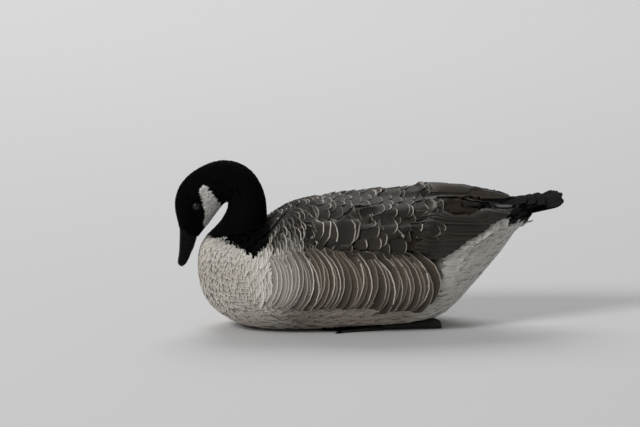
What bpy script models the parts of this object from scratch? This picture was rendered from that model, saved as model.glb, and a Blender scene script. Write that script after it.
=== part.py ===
"""A life-size Canada goose resting on its belly as it swims: neck curled, bill pointing down, wings folded.

The bird faces -X with +Z up, in metres. Each named part is its own closed solid. The soft parts are lofted
through stations, which are read like the frames of a boat: a back point, a belly point and a half width.
"""

import math

import bmesh
import bpy
import numpy as np
from mathutils import Matrix, Vector
from mathutils.bvhtree import BVHTree

# Driving sizes
CUT = 0.00036            # the gap left by each thin cut between two parts
FLOOR = 0.0              # the level that the belly, the shanks and the feet rest on
BODY_SIDES = 28          # sides of the trunk, the neck and the head
EYE_RADIUS = 0.0070      # the eyeball
EYE_SINK = 0.0044        # how deep its centre lies under the feathers
EYE_ALONG = 0.47         # how far the eye lies from the crown towards the throat
EYE_STATION = 4.75       # the place of the eye along the head's stations
WING_SKIN = 0.0018       # the least thickness of a folded wing on the trunk
WING_GAP = 0.0014        # the space between the wing's inner face and the trunk
POCKET = 0.0016          # the room left in the belly feathers round a foot
FOOT_SPREAD = 0.050      # how far each foot lies from the middle
SHANK_HEEL_X = 0.094     # the heel joint, at the back end of the shank
BALL_X = 0.012           # the ball of the foot, where the toes begin
MIDDLE_TOE = 0.082
SIDE_TOE = 0.067
TOE_SPLAY = math.radians(17)

# Head and neck, from the bill's base to the neck's base. Each row is a station: the crown or nape point
# (x, z), the throat point (x, z), the half width, the shift to the bird's left and the turn in degrees.
NECK_STATIONS = np.array([
    (-0.2661, 0.1390, -0.2432, 0.1268, 0.0118, -0.005, 4),
    (-0.2676, 0.1480, -0.2362, 0.1352, 0.0162, -0.005, 4),
    (-0.2702, 0.1582, -0.2303, 0.1432, 0.0194, -0.005, 4),
    (-0.2722, 0.1685, -0.2257, 0.1482, 0.0211, -0.005, 4),
    (-0.2724, 0.1798, -0.2208, 0.1547, 0.0218, -0.005, 4),
    (-0.2701, 0.1912, -0.2162, 0.1610, 0.0223, -0.005, 4),
    (-0.2646, 0.2025, -0.2118, 0.1668, 0.0226, -0.005, 4),
    (-0.2560, 0.2128, -0.2081, 0.1715, 0.0229, -0.005, 3),
    (-0.2451, 0.2212, -0.2052, 0.1748, 0.0233, -0.005, 3),
    (-0.2328, 0.2278, -0.2033, 0.1765, 0.0238, -0.004, 2),
    (-0.2186, 0.2332, -0.2019, 0.1774, 0.0244, -0.004, 2),
    (-0.2027, 0.2351, -0.2005, 0.1774, 0.0250, -0.003, 1),
    (-0.1860, 0.2320, -0.1985, 0.1764, 0.0254, -0.003, 1),
    (-0.1707, 0.2241, -0.1976, 0.1745, 0.0257, -0.002, 0),
    (-0.1589, 0.2114, -0.1973, 0.1714, 0.0260, -0.001, 0),
    (-0.1505, 0.1960, -0.1980, 0.1673, 0.0263, 0.000, 0),
    (-0.1458, 0.1796, -0.2006, 0.1610, 0.0269, 0.000, 0),
    (-0.1442, 0.1635, -0.2091, 0.1468, 0.0285, 0.000, 0),
    (-0.1450, 0.1470, -0.2288, 0.1277, 0.0315, 0.000, 0),
])
HEAD_END = 8.6           # the station where the nape begins
NECK_MIDDLE = 15.5       # the station of the cut across the neck

# Trunk, from the neck's base to the tail's root. Each row: back point (x, z), belly point (x, z), half
# width, fullness (2 is an ellipse) and how much wider the section is below its middle.
TRUNK_STATIONS = np.array([
    (-0.1450, 0.1470, -0.2288, 0.1277, 0.0315, 2.05, 0.00),
    (-0.1412, 0.1470, -0.2368, 0.1120, 0.0460, 2.05, 0.03),
    (-0.1335, 0.1515, -0.2395, 0.0920, 0.0610, 2.06, 0.06),
    (-0.1205, 0.1620, -0.2378, 0.0660, 0.0760, 2.10, 0.08),
    (-0.1010, 0.1745, -0.2262, 0.0360, 0.0880, 2.16, 0.10),
    (-0.0740, 0.1795, -0.1960, 0.0120, 0.0950, 2.22, 0.10),
    (-0.0420, 0.1795, -0.1500, -0.0010, 0.0985, 2.25, 0.10),
    (-0.0120, 0.1785, -0.0950, -0.0040, 0.1000, 2.25, 0.10),
    (0.0250, 0.1780, -0.0250, -0.0040, 0.1000, 2.25, 0.10),
    (0.0650, 0.1765, 0.0500, -0.0020, 0.0970, 2.20, 0.10),
    (0.1050, 0.1735, 0.1020, 0.0160, 0.0885, 2.15, 0.10),
    (0.1400, 0.1700, 0.1372, 0.0500, 0.0730, 2.10, 0.06),
    (0.1680, 0.1670, 0.1720, 0.0880, 0.0560, 2.05, 0.03),
    (0.1900, 0.1655, 0.1966, 0.1190, 0.0410, 2.00, 0.00),
    (0.2100, 0.1650, 0.2128, 0.1480, 0.0275, 2.00, 0.00),
])

TAIL_ROLL = 0.085         # how much higher the right edge of the tail is held, for each metre of width

# Tail, from its root to its tip. Each row: x, the height of the middle, the half width, the half
# thickness, how far the outer feathers fall below the middle ones and how much shorter they are.
TAIL_STATIONS = np.array([
    (0.2125, 0.1575, 0.0275, 0.0080, 0.0000, -0.0020),
    (0.2240, 0.1640, 0.0290, 0.0066, 0.0006, -0.0010),
    (0.2360, 0.1692, 0.0345, 0.0052, 0.0010, 0.0000),
    (0.2500, 0.1730, 0.0420, 0.0040, 0.0012, 0.0010),
    (0.2640, 0.1755, 0.0480, 0.0028, 0.0014, 0.0030),
    (0.2737, 0.1768, 0.0440, 0.0016, 0.0014, 0.0060),
])

# A folded wing, from the wrist to the tip of the longest primary. Each row: x, half width of the bird
# there, height of the wing's top, height of its widest place, height of its lower edge, how far its upper
# edge stays from the middle, and its own thickness where it stands clear of the body.
WING_STATIONS = np.array([
    (-0.0900, 0.0945, 0.1690, 0.1080, 0.1400, 0.0260, 0.006),
    (-0.0760, 0.0985, 0.1740, 0.1060, 0.1270, 0.0160, 0.010),
    (-0.0500, 0.1020, 0.1795, 0.1050, 0.1210, 0.0120, 0.012),
    (-0.0100, 0.1045, 0.1840, 0.1040, 0.1185, 0.0110, 0.014),
    (0.0400, 0.1045, 0.1860, 0.1040, 0.1155, 0.0110, 0.014),
    (0.0850, 0.1000, 0.1865, 0.1070, 0.1105, 0.0110, 0.013),
    (0.1120, 0.0940, 0.1860, 0.1110, 0.1110, 0.0110, 0.012),
    (0.1420, 0.0835, 0.1840, 0.1180, 0.1240, 0.0105, 0.010),
    (0.1730, 0.0690, 0.1800, 0.1290, 0.1385, 0.0100, 0.008),
    (0.2000, 0.0535, 0.1760, 0.1420, 0.1510, 0.0090, 0.006),
    (0.2230, 0.0400, 0.1758, 0.1560, 0.1650, 0.0080, 0.004),
    (0.2390, 0.0260, 0.1775, 0.1650, 0.1725, 0.0100, 0.003),
])
WING_FULLNESS = 2.8
WING_ALONG = 26          # strips from wrist to tip
WING_AROUND = 10         # strips from the lower edge to the upper one
BACK_GROOVE = 0.0060      # how deep the groove between the folded wings is
RIGHT_WING_LIFT = 0.0100  # the right wing is folded this much higher than the left one

COLOURS = {
    "plumage_dark": ((0.012, 0.011, 0.012), 0.80),
    "plumage_brown": ((0.105, 0.085, 0.068), 0.75),
    "plumage_wing": ((0.085, 0.068, 0.056), 0.70),
    "tail_black": ((0.016, 0.014, 0.014), 0.70),
    "bill_horn": ((0.012, 0.012, 0.013), 0.45),
    "eye_brown": ((0.020, 0.010, 0.006), 0.06),
    "leg_skin": ((0.022, 0.021, 0.020), 0.60),
}


def clear_scene():
    for old in list(bpy.data.objects):
        bpy.data.objects.remove(old, do_unlink=True)


def material(name):
    found = bpy.data.materials.get(name)
    if found:
        return found
    made = bpy.data.materials.new(name)
    made.use_nodes = True
    shader = made.node_tree.nodes["Principled BSDF"]
    colour, roughness = COLOURS[name]
    shader.inputs["Base Color"].default_value = (*colour, 1.0)
    shader.inputs["Roughness"].default_value = roughness
    shader.inputs["Metallic"].default_value = 0.0
    return made


def add_object(name, mesh_builder, look):
    """Makes a named object from a filled bmesh, with its faces pointing out."""
    bmesh.ops.recalc_face_normals(mesh_builder, faces=mesh_builder.faces)
    mesh = bpy.data.meshes.new(name)
    mesh_builder.to_mesh(mesh)
    mesh_builder.free()
    mesh.shade_smooth()
    mesh.set_sharp_from_angle(angle=math.radians(50))
    mesh.materials.append(material(look))
    made = bpy.data.objects.new(name, mesh)
    bpy.context.scene.collection.objects.link(made)
    return made


def through(table, at):
    """A row between the table's rows, on a smooth curve through them all."""
    at = min(max(at, 0.0), len(table) - 1.0)
    low = min(int(at), len(table) - 2)
    t = at - low
    before, after = max(low - 1, 0), min(low + 2, len(table) - 1)
    p0, p1, p2, p3 = table[before], table[low], table[low + 1], table[after]
    pull_in, pull_out = (p2 - p0) / 2, (p3 - p1) / 2
    return (p1 * (2 * t**3 - 3 * t**2 + 1) + pull_in * (t**3 - 2 * t**2 + t)
            + p2 * (3 * t**2 - 2 * t**3) + pull_out * (t**3 - t**2))


def rounded(angle, fullness):
    """Cosine and sine of a circle made fuller, as on a superellipse."""
    c, s = math.cos(angle), math.sin(angle)
    power = 2.0 / fullness
    return math.copysign(abs(c) ** power, c), math.copysign(abs(s) ** power, s)


def section(back, belly, half_width, shift, turn, fullness, low_width, sides):
    """A ring of points round the body, in the plane of the back point and the belly point."""
    centre = Vector(((back[0] + belly[0]) / 2, shift, (back[1] + belly[1]) / 2))
    run, rise = (back[0] - belly[0]) / 2, (back[1] - belly[1]) / 2
    up = Vector((run * math.cos(turn), run * math.sin(turn), rise))
    side = Vector((-math.sin(turn), math.cos(turn), 0.0))
    ring = []
    for step in range(sides):
        c, s = rounded(2 * math.pi * step / sides, fullness)
        point = centre + up * c + side * (half_width * (1 - low_width * c) * s)
        point.z = max(point.z, FLOOR)
        ring.append(point)
    return ring


def neck_section(at, sides=BODY_SIDES):
    back_x, back_z, throat_x, throat_z, half_width, shift, turn = through(NECK_STATIONS, at)
    cheek = 0.10 * math.exp(-((at - 4.5) / 2.5) ** 2)
    return section((back_x, back_z), (throat_x, throat_z), half_width, shift,
                   math.radians(turn), 2.05, cheek, sides)


def trunk_section(at, sides=BODY_SIDES):
    back_x, back_z, belly_x, belly_z, half_width, fullness, low_width = through(TRUNK_STATIONS, at)
    return section((back_x, back_z), (belly_x, belly_z), half_width, 0.0, 0.0,
                   fullness, low_width, sides)


def pushed(ring, towards, distance):
    """The ring moved along the normal of its own plane, to the side where a point lies."""
    middle = sum(ring, Vector()) / len(ring)
    third = len(ring) // 3
    normal = (ring[third] - ring[0]).cross(ring[2 * third] - ring[0]).normalized()
    if normal.dot(towards - middle) < 0:
        normal = -normal
    return [point + normal * distance for point in ring]


def fill_loft(build, rings):
    """Joins the rings with faces and closes both ends."""
    made = [[build.verts.new(point) for point in ring] for ring in rings]
    count = len(rings[0])
    for first, second in zip(made, made[1:]):
        for step in range(count):
            after = (step + 1) % count
            build.faces.new((first[step], first[after], second[after], second[step]))
    for end in (made[0], made[-1]):
        middle = build.verts.new(sum((v.co for v in end), Vector()) / count)
        for step in range(count):
            build.faces.new((end[step], end[(step + 1) % count], middle))


def loft(name, rings, look):
    build = bmesh.new()
    fill_loft(build, rings)
    return add_object(name, build, look)


def cut_loft(name, section_at, start, end, count, look):
    """A length of the body between two thin cuts."""
    places = [start + (end - start) * step / (count - 1) for step in range(count)]
    rings = [section_at(at) for at in places]
    first_middle = sum(rings[1], Vector()) / len(rings[1])
    last_middle = sum(rings[-2], Vector()) / len(rings[-2])
    rings[0] = pushed(rings[0], first_middle, CUT / 2)
    rings[-1] = pushed(rings[-1], last_middle, CUT / 2)
    return loft(name, rings, look)


def make_trunk():
    last = len(TRUNK_STATIONS) - 1
    return cut_loft("trunk", trunk_section, 0.0, last, 29, "plumage_brown")


def make_head_and_neck():
    last = len(NECK_STATIONS) - 1
    head = cut_loft("head", neck_section, 0.0, HEAD_END, 16, "plumage_dark")
    upper = cut_loft("neck_upper", neck_section, HEAD_END, NECK_MIDDLE, 11, "plumage_dark")
    lower = cut_loft("neck_lower", neck_section, NECK_MIDDLE, last, 6, "plumage_dark")
    return head, upper, lower


def tail_section(row, sides=BODY_SIDES):
    x, middle, half_width, half_thick, fall, shorter = row
    roll = TAIL_ROLL * min(1.0, (x - TAIL_STATIONS[0][0]) / 0.03)
    ring = []
    for step in range(sides):
        c, s = rounded(2 * math.pi * step / sides, 2.3)
        outward = s * s
        ring.append(Vector((x - shorter * outward, half_width * s,
                            middle + half_thick * c - fall * outward + roll * half_width * s)))
    return ring


def make_tail():
    last = len(TAIL_STATIONS) - 1
    count = 10
    rings = [tail_section(through(TAIL_STATIONS, last * step / (count - 1)))
             for step in range(count)]
    root = trunk_section(len(TRUNK_STATIONS) - 1)
    beyond = sum(rings[2], Vector()) / len(rings[2])
    rings[0] = pushed(root, beyond, CUT / 2)
    return loft("tail", rings, "tail_black")


def surface_distance(trees, origin, direction):
    """How far out the outermost surface lies along a ray from inside the body."""
    outside = 0.4
    reach = 0.0
    for tree in trees:
        hit = tree.ray_cast(origin + direction * outside, -direction)
        if hit[0] is not None:
            reach = max(reach, outside - hit[3])
    return reach


def wing_row(at, side, lift, trees):
    """Outer and inner points across a folded wing, from its lower edge to its upper one."""
    x, half_width, top, middle, low, inset, thick = through(WING_STATIONS, at)
    share = at / (len(WING_STATIONS) - 1)
    raised = lift * math.sin(math.pi * min(1.0, 0.12 + 0.95 * share)) ** 0.5
    top += raised
    thick += raised
    height = top - middle
    power = WING_FULLNESS / 2
    low_share = (low - middle) / height
    start = math.copysign(math.asin(min(1.0, abs(low_share) ** power)), low_share)
    end = math.acos((inset / half_width) ** power)
    origin = Vector((x, 0.0, middle))
    outer, inner = [], []
    for step in range(WING_AROUND + 1):
        across = step / WING_AROUND
        c, s = rounded(start + (end - start) * across, WING_FULLNESS)
        groove = BACK_GROOVE * math.exp(-((half_width * c / 0.026) ** 2)) * across
        ray = Vector((0.0, side * half_width * c, height * s - groove))
        direction = ray.normalized()
        body = surface_distance(trees, origin, direction)
        reach = max(ray.length, body + WING_GAP + WING_SKIN)
        thickness = thick * (0.35 + 0.65 * math.sin(math.pi * across) ** 0.5)
        floor = max(body + WING_GAP, reach - thickness)
        outer.append(origin + direction * reach)
        inner.append(origin + direction * floor)
    return outer, inner


def make_wing(name, side, lift, trees):
    build = bmesh.new()
    last = len(WING_STATIONS) - 1
    rows = [wing_row(last * step / WING_ALONG, side, lift, trees)
            for step in range(WING_ALONG + 1)]
    outer = [[build.verts.new(point) for point in row[0]] for row in rows]
    inner = [[build.verts.new(point) for point in row[1]] for row in rows]
    for sheet in (outer, inner):
        for first, second in zip(sheet, sheet[1:]):
            for a, b, c, d in zip(first, first[1:], second[1:], second):
                build.faces.new((a, b, c, d))
    rims = (
        ([row[0] for row in outer], [row[0] for row in inner]),
        ([row[-1] for row in outer], [row[-1] for row in inner]),
        (outer[0], inner[0]),
        (outer[-1], inner[-1]),
    )
    for top, under in rims:
        for a, b, c, d in zip(top, top[1:], under[1:], under):
            build.faces.new((a, b, c, d))
    return add_object(name, build, "plumage_wing")


# The bill hangs from the face. Each row: culmen point (x, z), cutting edge (x, z) of the upper half, chin
# point (x, z) of the lower half, and the half width.
BILL_STATIONS = np.array([
    (-0.2661, 0.1390, -0.2514, 0.1312, -0.2432, 0.1268, 0.0116),
    (-0.2661, 0.1300, -0.2527, 0.1233, -0.2452, 0.1206, 0.0111),
    (-0.2664, 0.1205, -0.2546, 0.1150, -0.2476, 0.1133, 0.0104),
    (-0.2668, 0.1110, -0.2567, 0.1073, -0.2509, 0.1066, 0.0098),
    (-0.2677, 0.1025, -0.2588, 0.1000, -0.2536, 0.1000, 0.0093),
    (-0.2687, 0.0960, -0.2604, 0.0944, -0.2562, 0.0950, 0.0085),
    (-0.2680, 0.0910, -0.2618, 0.0904, -0.2582, 0.0916, 0.0066),
    (-0.2650, 0.0880, -0.2631, 0.0880, -0.2604, 0.0894, 0.0032),
])
BILL_SIDES = 9


def bill_frame(at):
    """The bill's row at a place, moved and turned as the head is."""
    row = through(BILL_STATIONS, at)
    shift, turn = NECK_STATIONS[0][5], math.radians(NECK_STATIONS[0][6])
    hinge = (NECK_STATIONS[0][0] + NECK_STATIONS[0][2]) / 2

    def placed(x, y, z):
        run = x - hinge
        return Vector((hinge + run * math.cos(turn) - y * math.sin(turn),
                       shift + run * math.sin(turn) + y * math.cos(turn), z))

    return row, placed


def bill_ring(at, upper):
    """Half of the bill's section: round outside and flat along the cutting edge."""
    (top_x, top_z, edge_x, edge_z, chin_x, chin_z, half_width), placed = bill_frame(at)
    if upper:
        far_x, far_z, near = top_x, top_z, 0.00018
    else:
        far_x, far_z, near = chin_x, chin_z, 0.00018
        half_width *= 0.86
    run, rise = far_x - edge_x, far_z - edge_z
    length = math.hypot(run, rise)
    start_x, start_z = edge_x + run / length * near, edge_z + rise / length * near
    ring = []
    for step in range(BILL_SIDES + 1):
        c, s = rounded(math.pi * step / BILL_SIDES, 2.2)
        ring.append(placed(start_x + run * s, half_width * c, start_z + rise * s))
    return ring


def make_bill(name, upper):
    count = 13
    last = len(BILL_STATIONS) - 1
    rings = [bill_ring(last * step / (count - 1), upper) for step in range(count)]
    rings[0] = pushed(rings[0], sum(rings[1], Vector()) / len(rings[1]), CUT / 2)
    return loft(name, rings, "bill_horn")


def eye_place(side):
    """The middle of an eyeball and the way it looks out of the head."""
    back_x, back_z, throat_x, throat_z, half_width, shift, turn = through(NECK_STATIONS, EYE_STATION)
    turn = math.radians(turn)
    c = 1 - 2 * EYE_ALONG
    run, rise = (back_x - throat_x) / 2, (back_z - throat_z) / 2
    centre = Vector(((back_x + throat_x) / 2 + run * c * math.cos(turn),
                     shift + run * c * math.sin(turn),
                     (back_z + throat_z) / 2 + rise * c))
    outward = Vector((-math.sin(turn), math.cos(turn), 0.0)) * side
    reach = half_width * math.sqrt(1 - c * c)
    return centre + outward * (reach - EYE_SINK)


def make_eye(name, side, head):
    """An eyeball in a socket cut from the head."""
    place = eye_place(side)
    socket = bmesh.new()
    bmesh.ops.create_icosphere(socket, subdivisions=2, radius=EYE_RADIUS * 1.09)
    bmesh.ops.translate(socket, verts=socket.verts, vec=place)
    cutter = add_object("socket_" + name, socket, "plumage_dark")
    cutter.hide_render = True
    cutter.display_type = "WIRE"
    hollow = head.modifiers.new(cutter.name, "BOOLEAN")
    hollow.operation = "DIFFERENCE"
    hollow.object = cutter
    ball = bmesh.new()
    bmesh.ops.create_icosphere(ball, subdivisions=3, radius=EYE_RADIUS)
    bmesh.ops.translate(ball, verts=ball.verts, vec=place)
    return add_object(name, ball, "eye_brown")


FOOT_ALONG = 9
FOOT_ACROSS = 12


def foot_point(along, across, grow):
    """A point on the top of the webbed foot. Across runs from the inner toe to the outer one."""
    ridge = max(math.exp(-((across - toe) / 0.17) ** 2) for toe in (-1.0, 0.0, 1.0))
    toe_length = MIDDLE_TOE - (MIDDLE_TOE - SIDE_TOE) * across * across
    web_length = 0.80 * toe_length
    reach = (web_length + (toe_length - web_length) * ridge**1.5) * along + grow * along
    angle = TOE_SPLAY * across
    width = 0.0055 * (1 - 0.35 * along) + grow
    x = BALL_X - reach * math.cos(angle)
    y = reach * math.sin(angle) + width * across
    toe_height = 0.0062 - 0.0036 * along
    z = 0.0016 + (toe_height - 0.0016) * ridge + grow
    return x, y, z


def make_foot(name, side, grow=0.0):
    build = bmesh.new()
    rows = []
    for i in range(FOOT_ALONG + 1):
        rows.append([])
        for j in range(FOOT_ACROSS + 1):
            x, y, z = foot_point(i / FOOT_ALONG, 2 * j / FOOT_ACROSS - 1, grow)
            if i == 0:
                x += grow
            low = build.verts.new((x, side * FOOT_SPREAD + y, FLOOR - grow))
            high = build.verts.new((x, side * FOOT_SPREAD + y, FLOOR + z))
            rows[-1].append((low, high))
    for first, second in zip(rows, rows[1:]):
        for a, b, c, d in zip(first, first[1:], second[1:], second):
            build.faces.new((a[1], b[1], c[1], d[1]))
            build.faces.new((a[0], b[0], c[0], d[0]))
    edges = ([row[0] for row in rows], [row[-1] for row in rows], rows[0], rows[-1])
    for edge in edges:
        for a, b in zip(edge, edge[1:]):
            build.faces.new((a[0], b[0], b[1], a[1]))
    return add_object(name, build, "leg_skin")


# The shank, from the ball of the foot back to the heel: x, half width, half height.
SHANK_STATIONS = np.array([
    (BALL_X + 0.0005, 0.0058, 0.0044),
    (BALL_X + 0.0080, 0.0050, 0.0052),
    (BALL_X + 0.0300, 0.0042, 0.0056),
    (SHANK_HEEL_X - 0.0220, 0.0046, 0.0060),
    (SHANK_HEEL_X - 0.0060, 0.0064, 0.0074),
    (SHANK_HEEL_X + 0.0020, 0.0046, 0.0056),
])


# The hollow for a leg and foot: x, half width, height.
HOLLOW_STATIONS = (
    (BALL_X - MIDDLE_TOE - 0.004, 0.027, 0.0050),
    (BALL_X - 0.050, 0.026, 0.0070),
    (BALL_X - 0.020, 0.016, 0.0090),
    (BALL_X + 0.004, 0.010, 0.0130),
    (SHANK_HEEL_X - 0.026, 0.008, 0.0150),
    (SHANK_HEEL_X, 0.010, 0.0180),
    (SHANK_HEEL_X + 0.006, 0.008, 0.0150),
)


def make_shank(name, side, grow=0.0):
    count, sides = 10, 12
    last = len(SHANK_STATIONS) - 1
    rings = []
    for step in range(count):
        x, half_width, half_height = through(SHANK_STATIONS, last * step / (count - 1))
        ring = []
        for turn in range(sides):
            c, s = rounded(2 * math.pi * turn / sides, 2.2)
            z = FLOOR + half_height * 0.94 + (half_height + grow) * c
            ring.append(Vector((x, side * FOOT_SPREAD + (half_width + grow) * s,
                                max(z, FLOOR - grow))))
        rings.append(ring)
    ends = ((0, -grow), (-1, grow))
    for index, move in ends:
        rings[index] = [point + Vector((move, 0, 0)) for point in rings[index]]
    return loft(name, rings, "leg_skin")


def make_hollow(name, side):
    """The hollow that a foot and a shank press into the belly feathers."""
    sides = 14
    rings = []
    for x, half_width, height in HOLLOW_STATIONS:
        ring = []
        for step in range(sides + 1):
            c, s = rounded(math.pi * step / sides, 3.0)
            ring.append(Vector((x, side * FOOT_SPREAD + half_width * c, FLOOR + height * s)))
        ring.append(Vector((x, side * FOOT_SPREAD - half_width, FLOOR - 0.004)))
        ring.append(Vector((x, side * FOOT_SPREAD + half_width, FLOOR - 0.004)))
        rings.append(ring)
    return loft(name, rings, "leg_skin")


def press_into_belly(trunk, side, tag):
    make_foot("foot_" + tag, side)
    make_shank("leg_" + tag, side)
    cutter = make_hollow("hollow_" + tag, side)
    cutter.hide_render = True
    cutter.display_type = "WIRE"
    hollow = trunk.modifiers.new(cutter.name, "BOOLEAN")
    hollow.operation = "DIFFERENCE"
    hollow.object = cutter


def tree_of(made):
    build = bmesh.new()
    build.from_mesh(made.data)
    tree = BVHTree.FromBMesh(build)
    build.free()
    return tree


def centre_on_length(objects):
    """Puts the middle of the bird's length over the origin."""
    reach = [v.co.x for made in objects for v in made.data.vertices]
    shift = -(min(reach) + max(reach)) / 2
    for made in bpy.context.scene.objects:
        made.data.transform(Matrix.Translation((shift, 0, 0)))


clear_scene()
trunk = make_trunk()
head, neck_upper, neck_lower = make_head_and_neck()
tail = make_tail()
body_trees = [tree_of(trunk), tree_of(tail)]
make_wing("wing_left", -1, 0.0, body_trees)
make_wing("wing_right", 1, RIGHT_WING_LIFT, body_trees)
make_bill("bill_upper", True)
make_bill("bill_lower", False)
make_eye("eye_left", -1, head)
make_eye("eye_right", 1, head)
press_into_belly(trunk, -1, "left")
press_into_belly(trunk, 1, "right")
centre_on_length([head, tail])
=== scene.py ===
"""The looks of a life-size Canada goose that rests on its belly with its neck curled and its wings folded.

The bird faces -X with +Z up, in metres. A skin lies under the solids' surface, and every feather is a thin
solid vane that lies over it, from the smallest on the face to the long ones of the wings and the tail.
"""

import math

import bmesh
import bpy
import numpy as np
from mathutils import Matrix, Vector
from mathutils.bvhtree import BVHTree
from mathutils.kdtree import KDTree


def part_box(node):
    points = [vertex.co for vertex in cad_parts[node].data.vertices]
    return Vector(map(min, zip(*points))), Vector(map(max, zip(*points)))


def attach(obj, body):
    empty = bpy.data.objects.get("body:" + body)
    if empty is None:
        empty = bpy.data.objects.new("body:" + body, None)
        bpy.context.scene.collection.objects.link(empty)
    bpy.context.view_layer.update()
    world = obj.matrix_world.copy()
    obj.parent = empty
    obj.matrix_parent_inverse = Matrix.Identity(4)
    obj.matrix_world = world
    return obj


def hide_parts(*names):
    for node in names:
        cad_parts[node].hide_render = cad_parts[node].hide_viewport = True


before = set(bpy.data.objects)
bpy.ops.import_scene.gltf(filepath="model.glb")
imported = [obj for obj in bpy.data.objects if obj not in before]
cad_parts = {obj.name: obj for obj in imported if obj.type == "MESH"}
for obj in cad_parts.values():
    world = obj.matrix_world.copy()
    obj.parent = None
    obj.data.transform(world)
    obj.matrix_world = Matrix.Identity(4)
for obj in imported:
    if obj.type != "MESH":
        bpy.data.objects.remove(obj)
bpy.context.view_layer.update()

# The view. A long lens looks at the bird's left side from a little above, so that both folded wings
# show along the back. The picture is 640 by 427, and the lens is level with no shift.
VIEW_TURN = math.radians(-7)
VIEW_RISE = math.radians(9)
VIEW_DISTANCE = 7.47
VIEW_LENS = 300.0
AIM_ALONG = -0.0692       # where the middle of the picture lies, along its own right side
AIM_UP = 0.1540           # and along its own upper side

to_view = Vector((math.sin(VIEW_TURN) * math.cos(VIEW_RISE),
                  -math.cos(VIEW_TURN) * math.cos(VIEW_RISE), math.sin(VIEW_RISE)))
view_right = Vector((math.cos(VIEW_TURN), math.sin(VIEW_TURN), 0.0))
view_up = to_view.cross(view_right)
camera = bpy.data.objects.new("camera", bpy.data.cameras.new("camera"))
bpy.context.scene.collection.objects.link(camera)
camera.data.lens = VIEW_LENS
camera.data.clip_end = 100.0
camera.location = view_right * AIM_ALONG + view_up * AIM_UP + to_view * VIEW_DISTANCE
camera.rotation_mode = "QUATERNION"
camera.rotation_quaternion = to_view.to_track_quat("Z", "Y")
bpy.context.scene.camera = camera
bpy.context.scene.view_settings.view_transform = "Standard"


# The floor and the light. A plain pale matt floor runs to the horizon. A wide soft lamp high behind the bird
# lights its back and the floor, and a smaller one, high in front and to its left, lights the near side.
FLOOR_HALF = 30.0
FLOOR_PAINT = (0.74, 0.74, 0.74, 1)
LAMP_PLACE = (-0.5, 4.9, 5.2)
LAMP_SIZE = 5.0
LAMP_POWER = 225.0
FILL_PLACE = (-6.4, -5.0, 5.6)
FILL_SIZE = 3.4
FILL_POWER = 440.0
ROOM_LIGHT = 0.22
ROOM_PAINT = (0.97, 0.98, 1.0, 1)


def node(tree, kind, *sources, **settings):
    """Adds a node. Each source is a socket to link or a value to set, in the order of the inputs."""
    made = tree.nodes.new(kind)
    for name, value in settings.items():
        setattr(made, name, value)
    for place, source in enumerate(sources):
        if isinstance(source, bpy.types.NodeSocket):
            tree.links.new(source, made.inputs[place])
        elif source is not None:
            made.inputs[place].default_value = source
    return made


def finish_material(name, roughness, **uniform):
    """A Principled material, with the values that are the same all over set on their own sockets."""
    made = bpy.data.materials.new(name)
    made.use_nodes = True
    shader = made.node_tree.nodes["Principled BSDF"]
    shader.inputs["Roughness"].default_value = roughness
    for socket, value in uniform.items():
        shader.inputs[socket.replace("_", " ")].default_value = value
    return made, made.node_tree, shader


def texture(tree, kind, place, scale, detail=None, **settings):
    """A procedural texture at a place, with its own scale."""
    made = node(tree, kind, place, **settings)
    made.inputs["Scale"].default_value = scale
    if detail is not None:
        made.inputs["Detail"].default_value = detail
    return made


def between(tree, share, first, second):
    """A mix of two colours, each of which is a socket or a paint."""
    mix = node(tree, "ShaderNodeMix", share, data_type="RGBA")
    for place, source in ((6, first), (7, second)):
        if isinstance(source, bpy.types.NodeSocket):
            tree.links.new(source, mix.inputs[place])
        else:
            mix.inputs[place].default_value = (*source, 1)
    return mix.outputs[2]


def give_relief(tree, shader, height, distance):
    """Turns a height that changes over the surface into the shader's normal."""
    bump = node(tree, "ShaderNodeBump")
    bump.inputs["Distance"].default_value = distance
    tree.links.new(height, bump.inputs["Height"])
    tree.links.new(bump.outputs["Normal"], shader.inputs["Normal"])


def mesh_object(name, mesh):
    made = bpy.data.objects.new(name, mesh)
    bpy.context.scene.collection.objects.link(made)
    return made


floor_mesh = bpy.data.meshes.new("studio_floor")
floor_mesh.from_pydata([(-FLOOR_HALF, -FLOOR_HALF, 0), (FLOOR_HALF, -FLOOR_HALF, 0),
                        (FLOOR_HALF, FLOOR_HALF, 0), (-FLOOR_HALF, FLOOR_HALF, 0)], [], [(0, 1, 2, 3)])
floor_finish, floor_tree, floor_shader = finish_material("studio_floor", 0.9)
floor_shader.inputs["Base Color"].default_value = FLOOR_PAINT
floor_mesh.materials.append(floor_finish)
mesh_object("studio_floor", floor_mesh)

for name, place, size, power in (("overhead_lamp", LAMP_PLACE, LAMP_SIZE, LAMP_POWER),
                                 ("side_lamp", FILL_PLACE, FILL_SIZE, FILL_POWER)):
    lamp = bpy.data.objects.new(name, bpy.data.lights.new(name, "AREA"))
    lamp.data.shape = "DISK"
    lamp.data.size = size
    lamp.data.energy = power
    lamp.location = place
    lamp.rotation_mode = "QUATERNION"
    lamp.rotation_quaternion = Vector(place).to_track_quat("Z", "Y")
    bpy.context.scene.collection.objects.link(lamp)
room = bpy.data.worlds.new("pale_room")
room.use_nodes = True
room.node_tree.nodes["Background"].inputs["Color"].default_value = ROOM_PAINT
room.node_tree.nodes["Background"].inputs["Strength"].default_value = ROOM_LIGHT
bpy.context.scene.world = room


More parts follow.
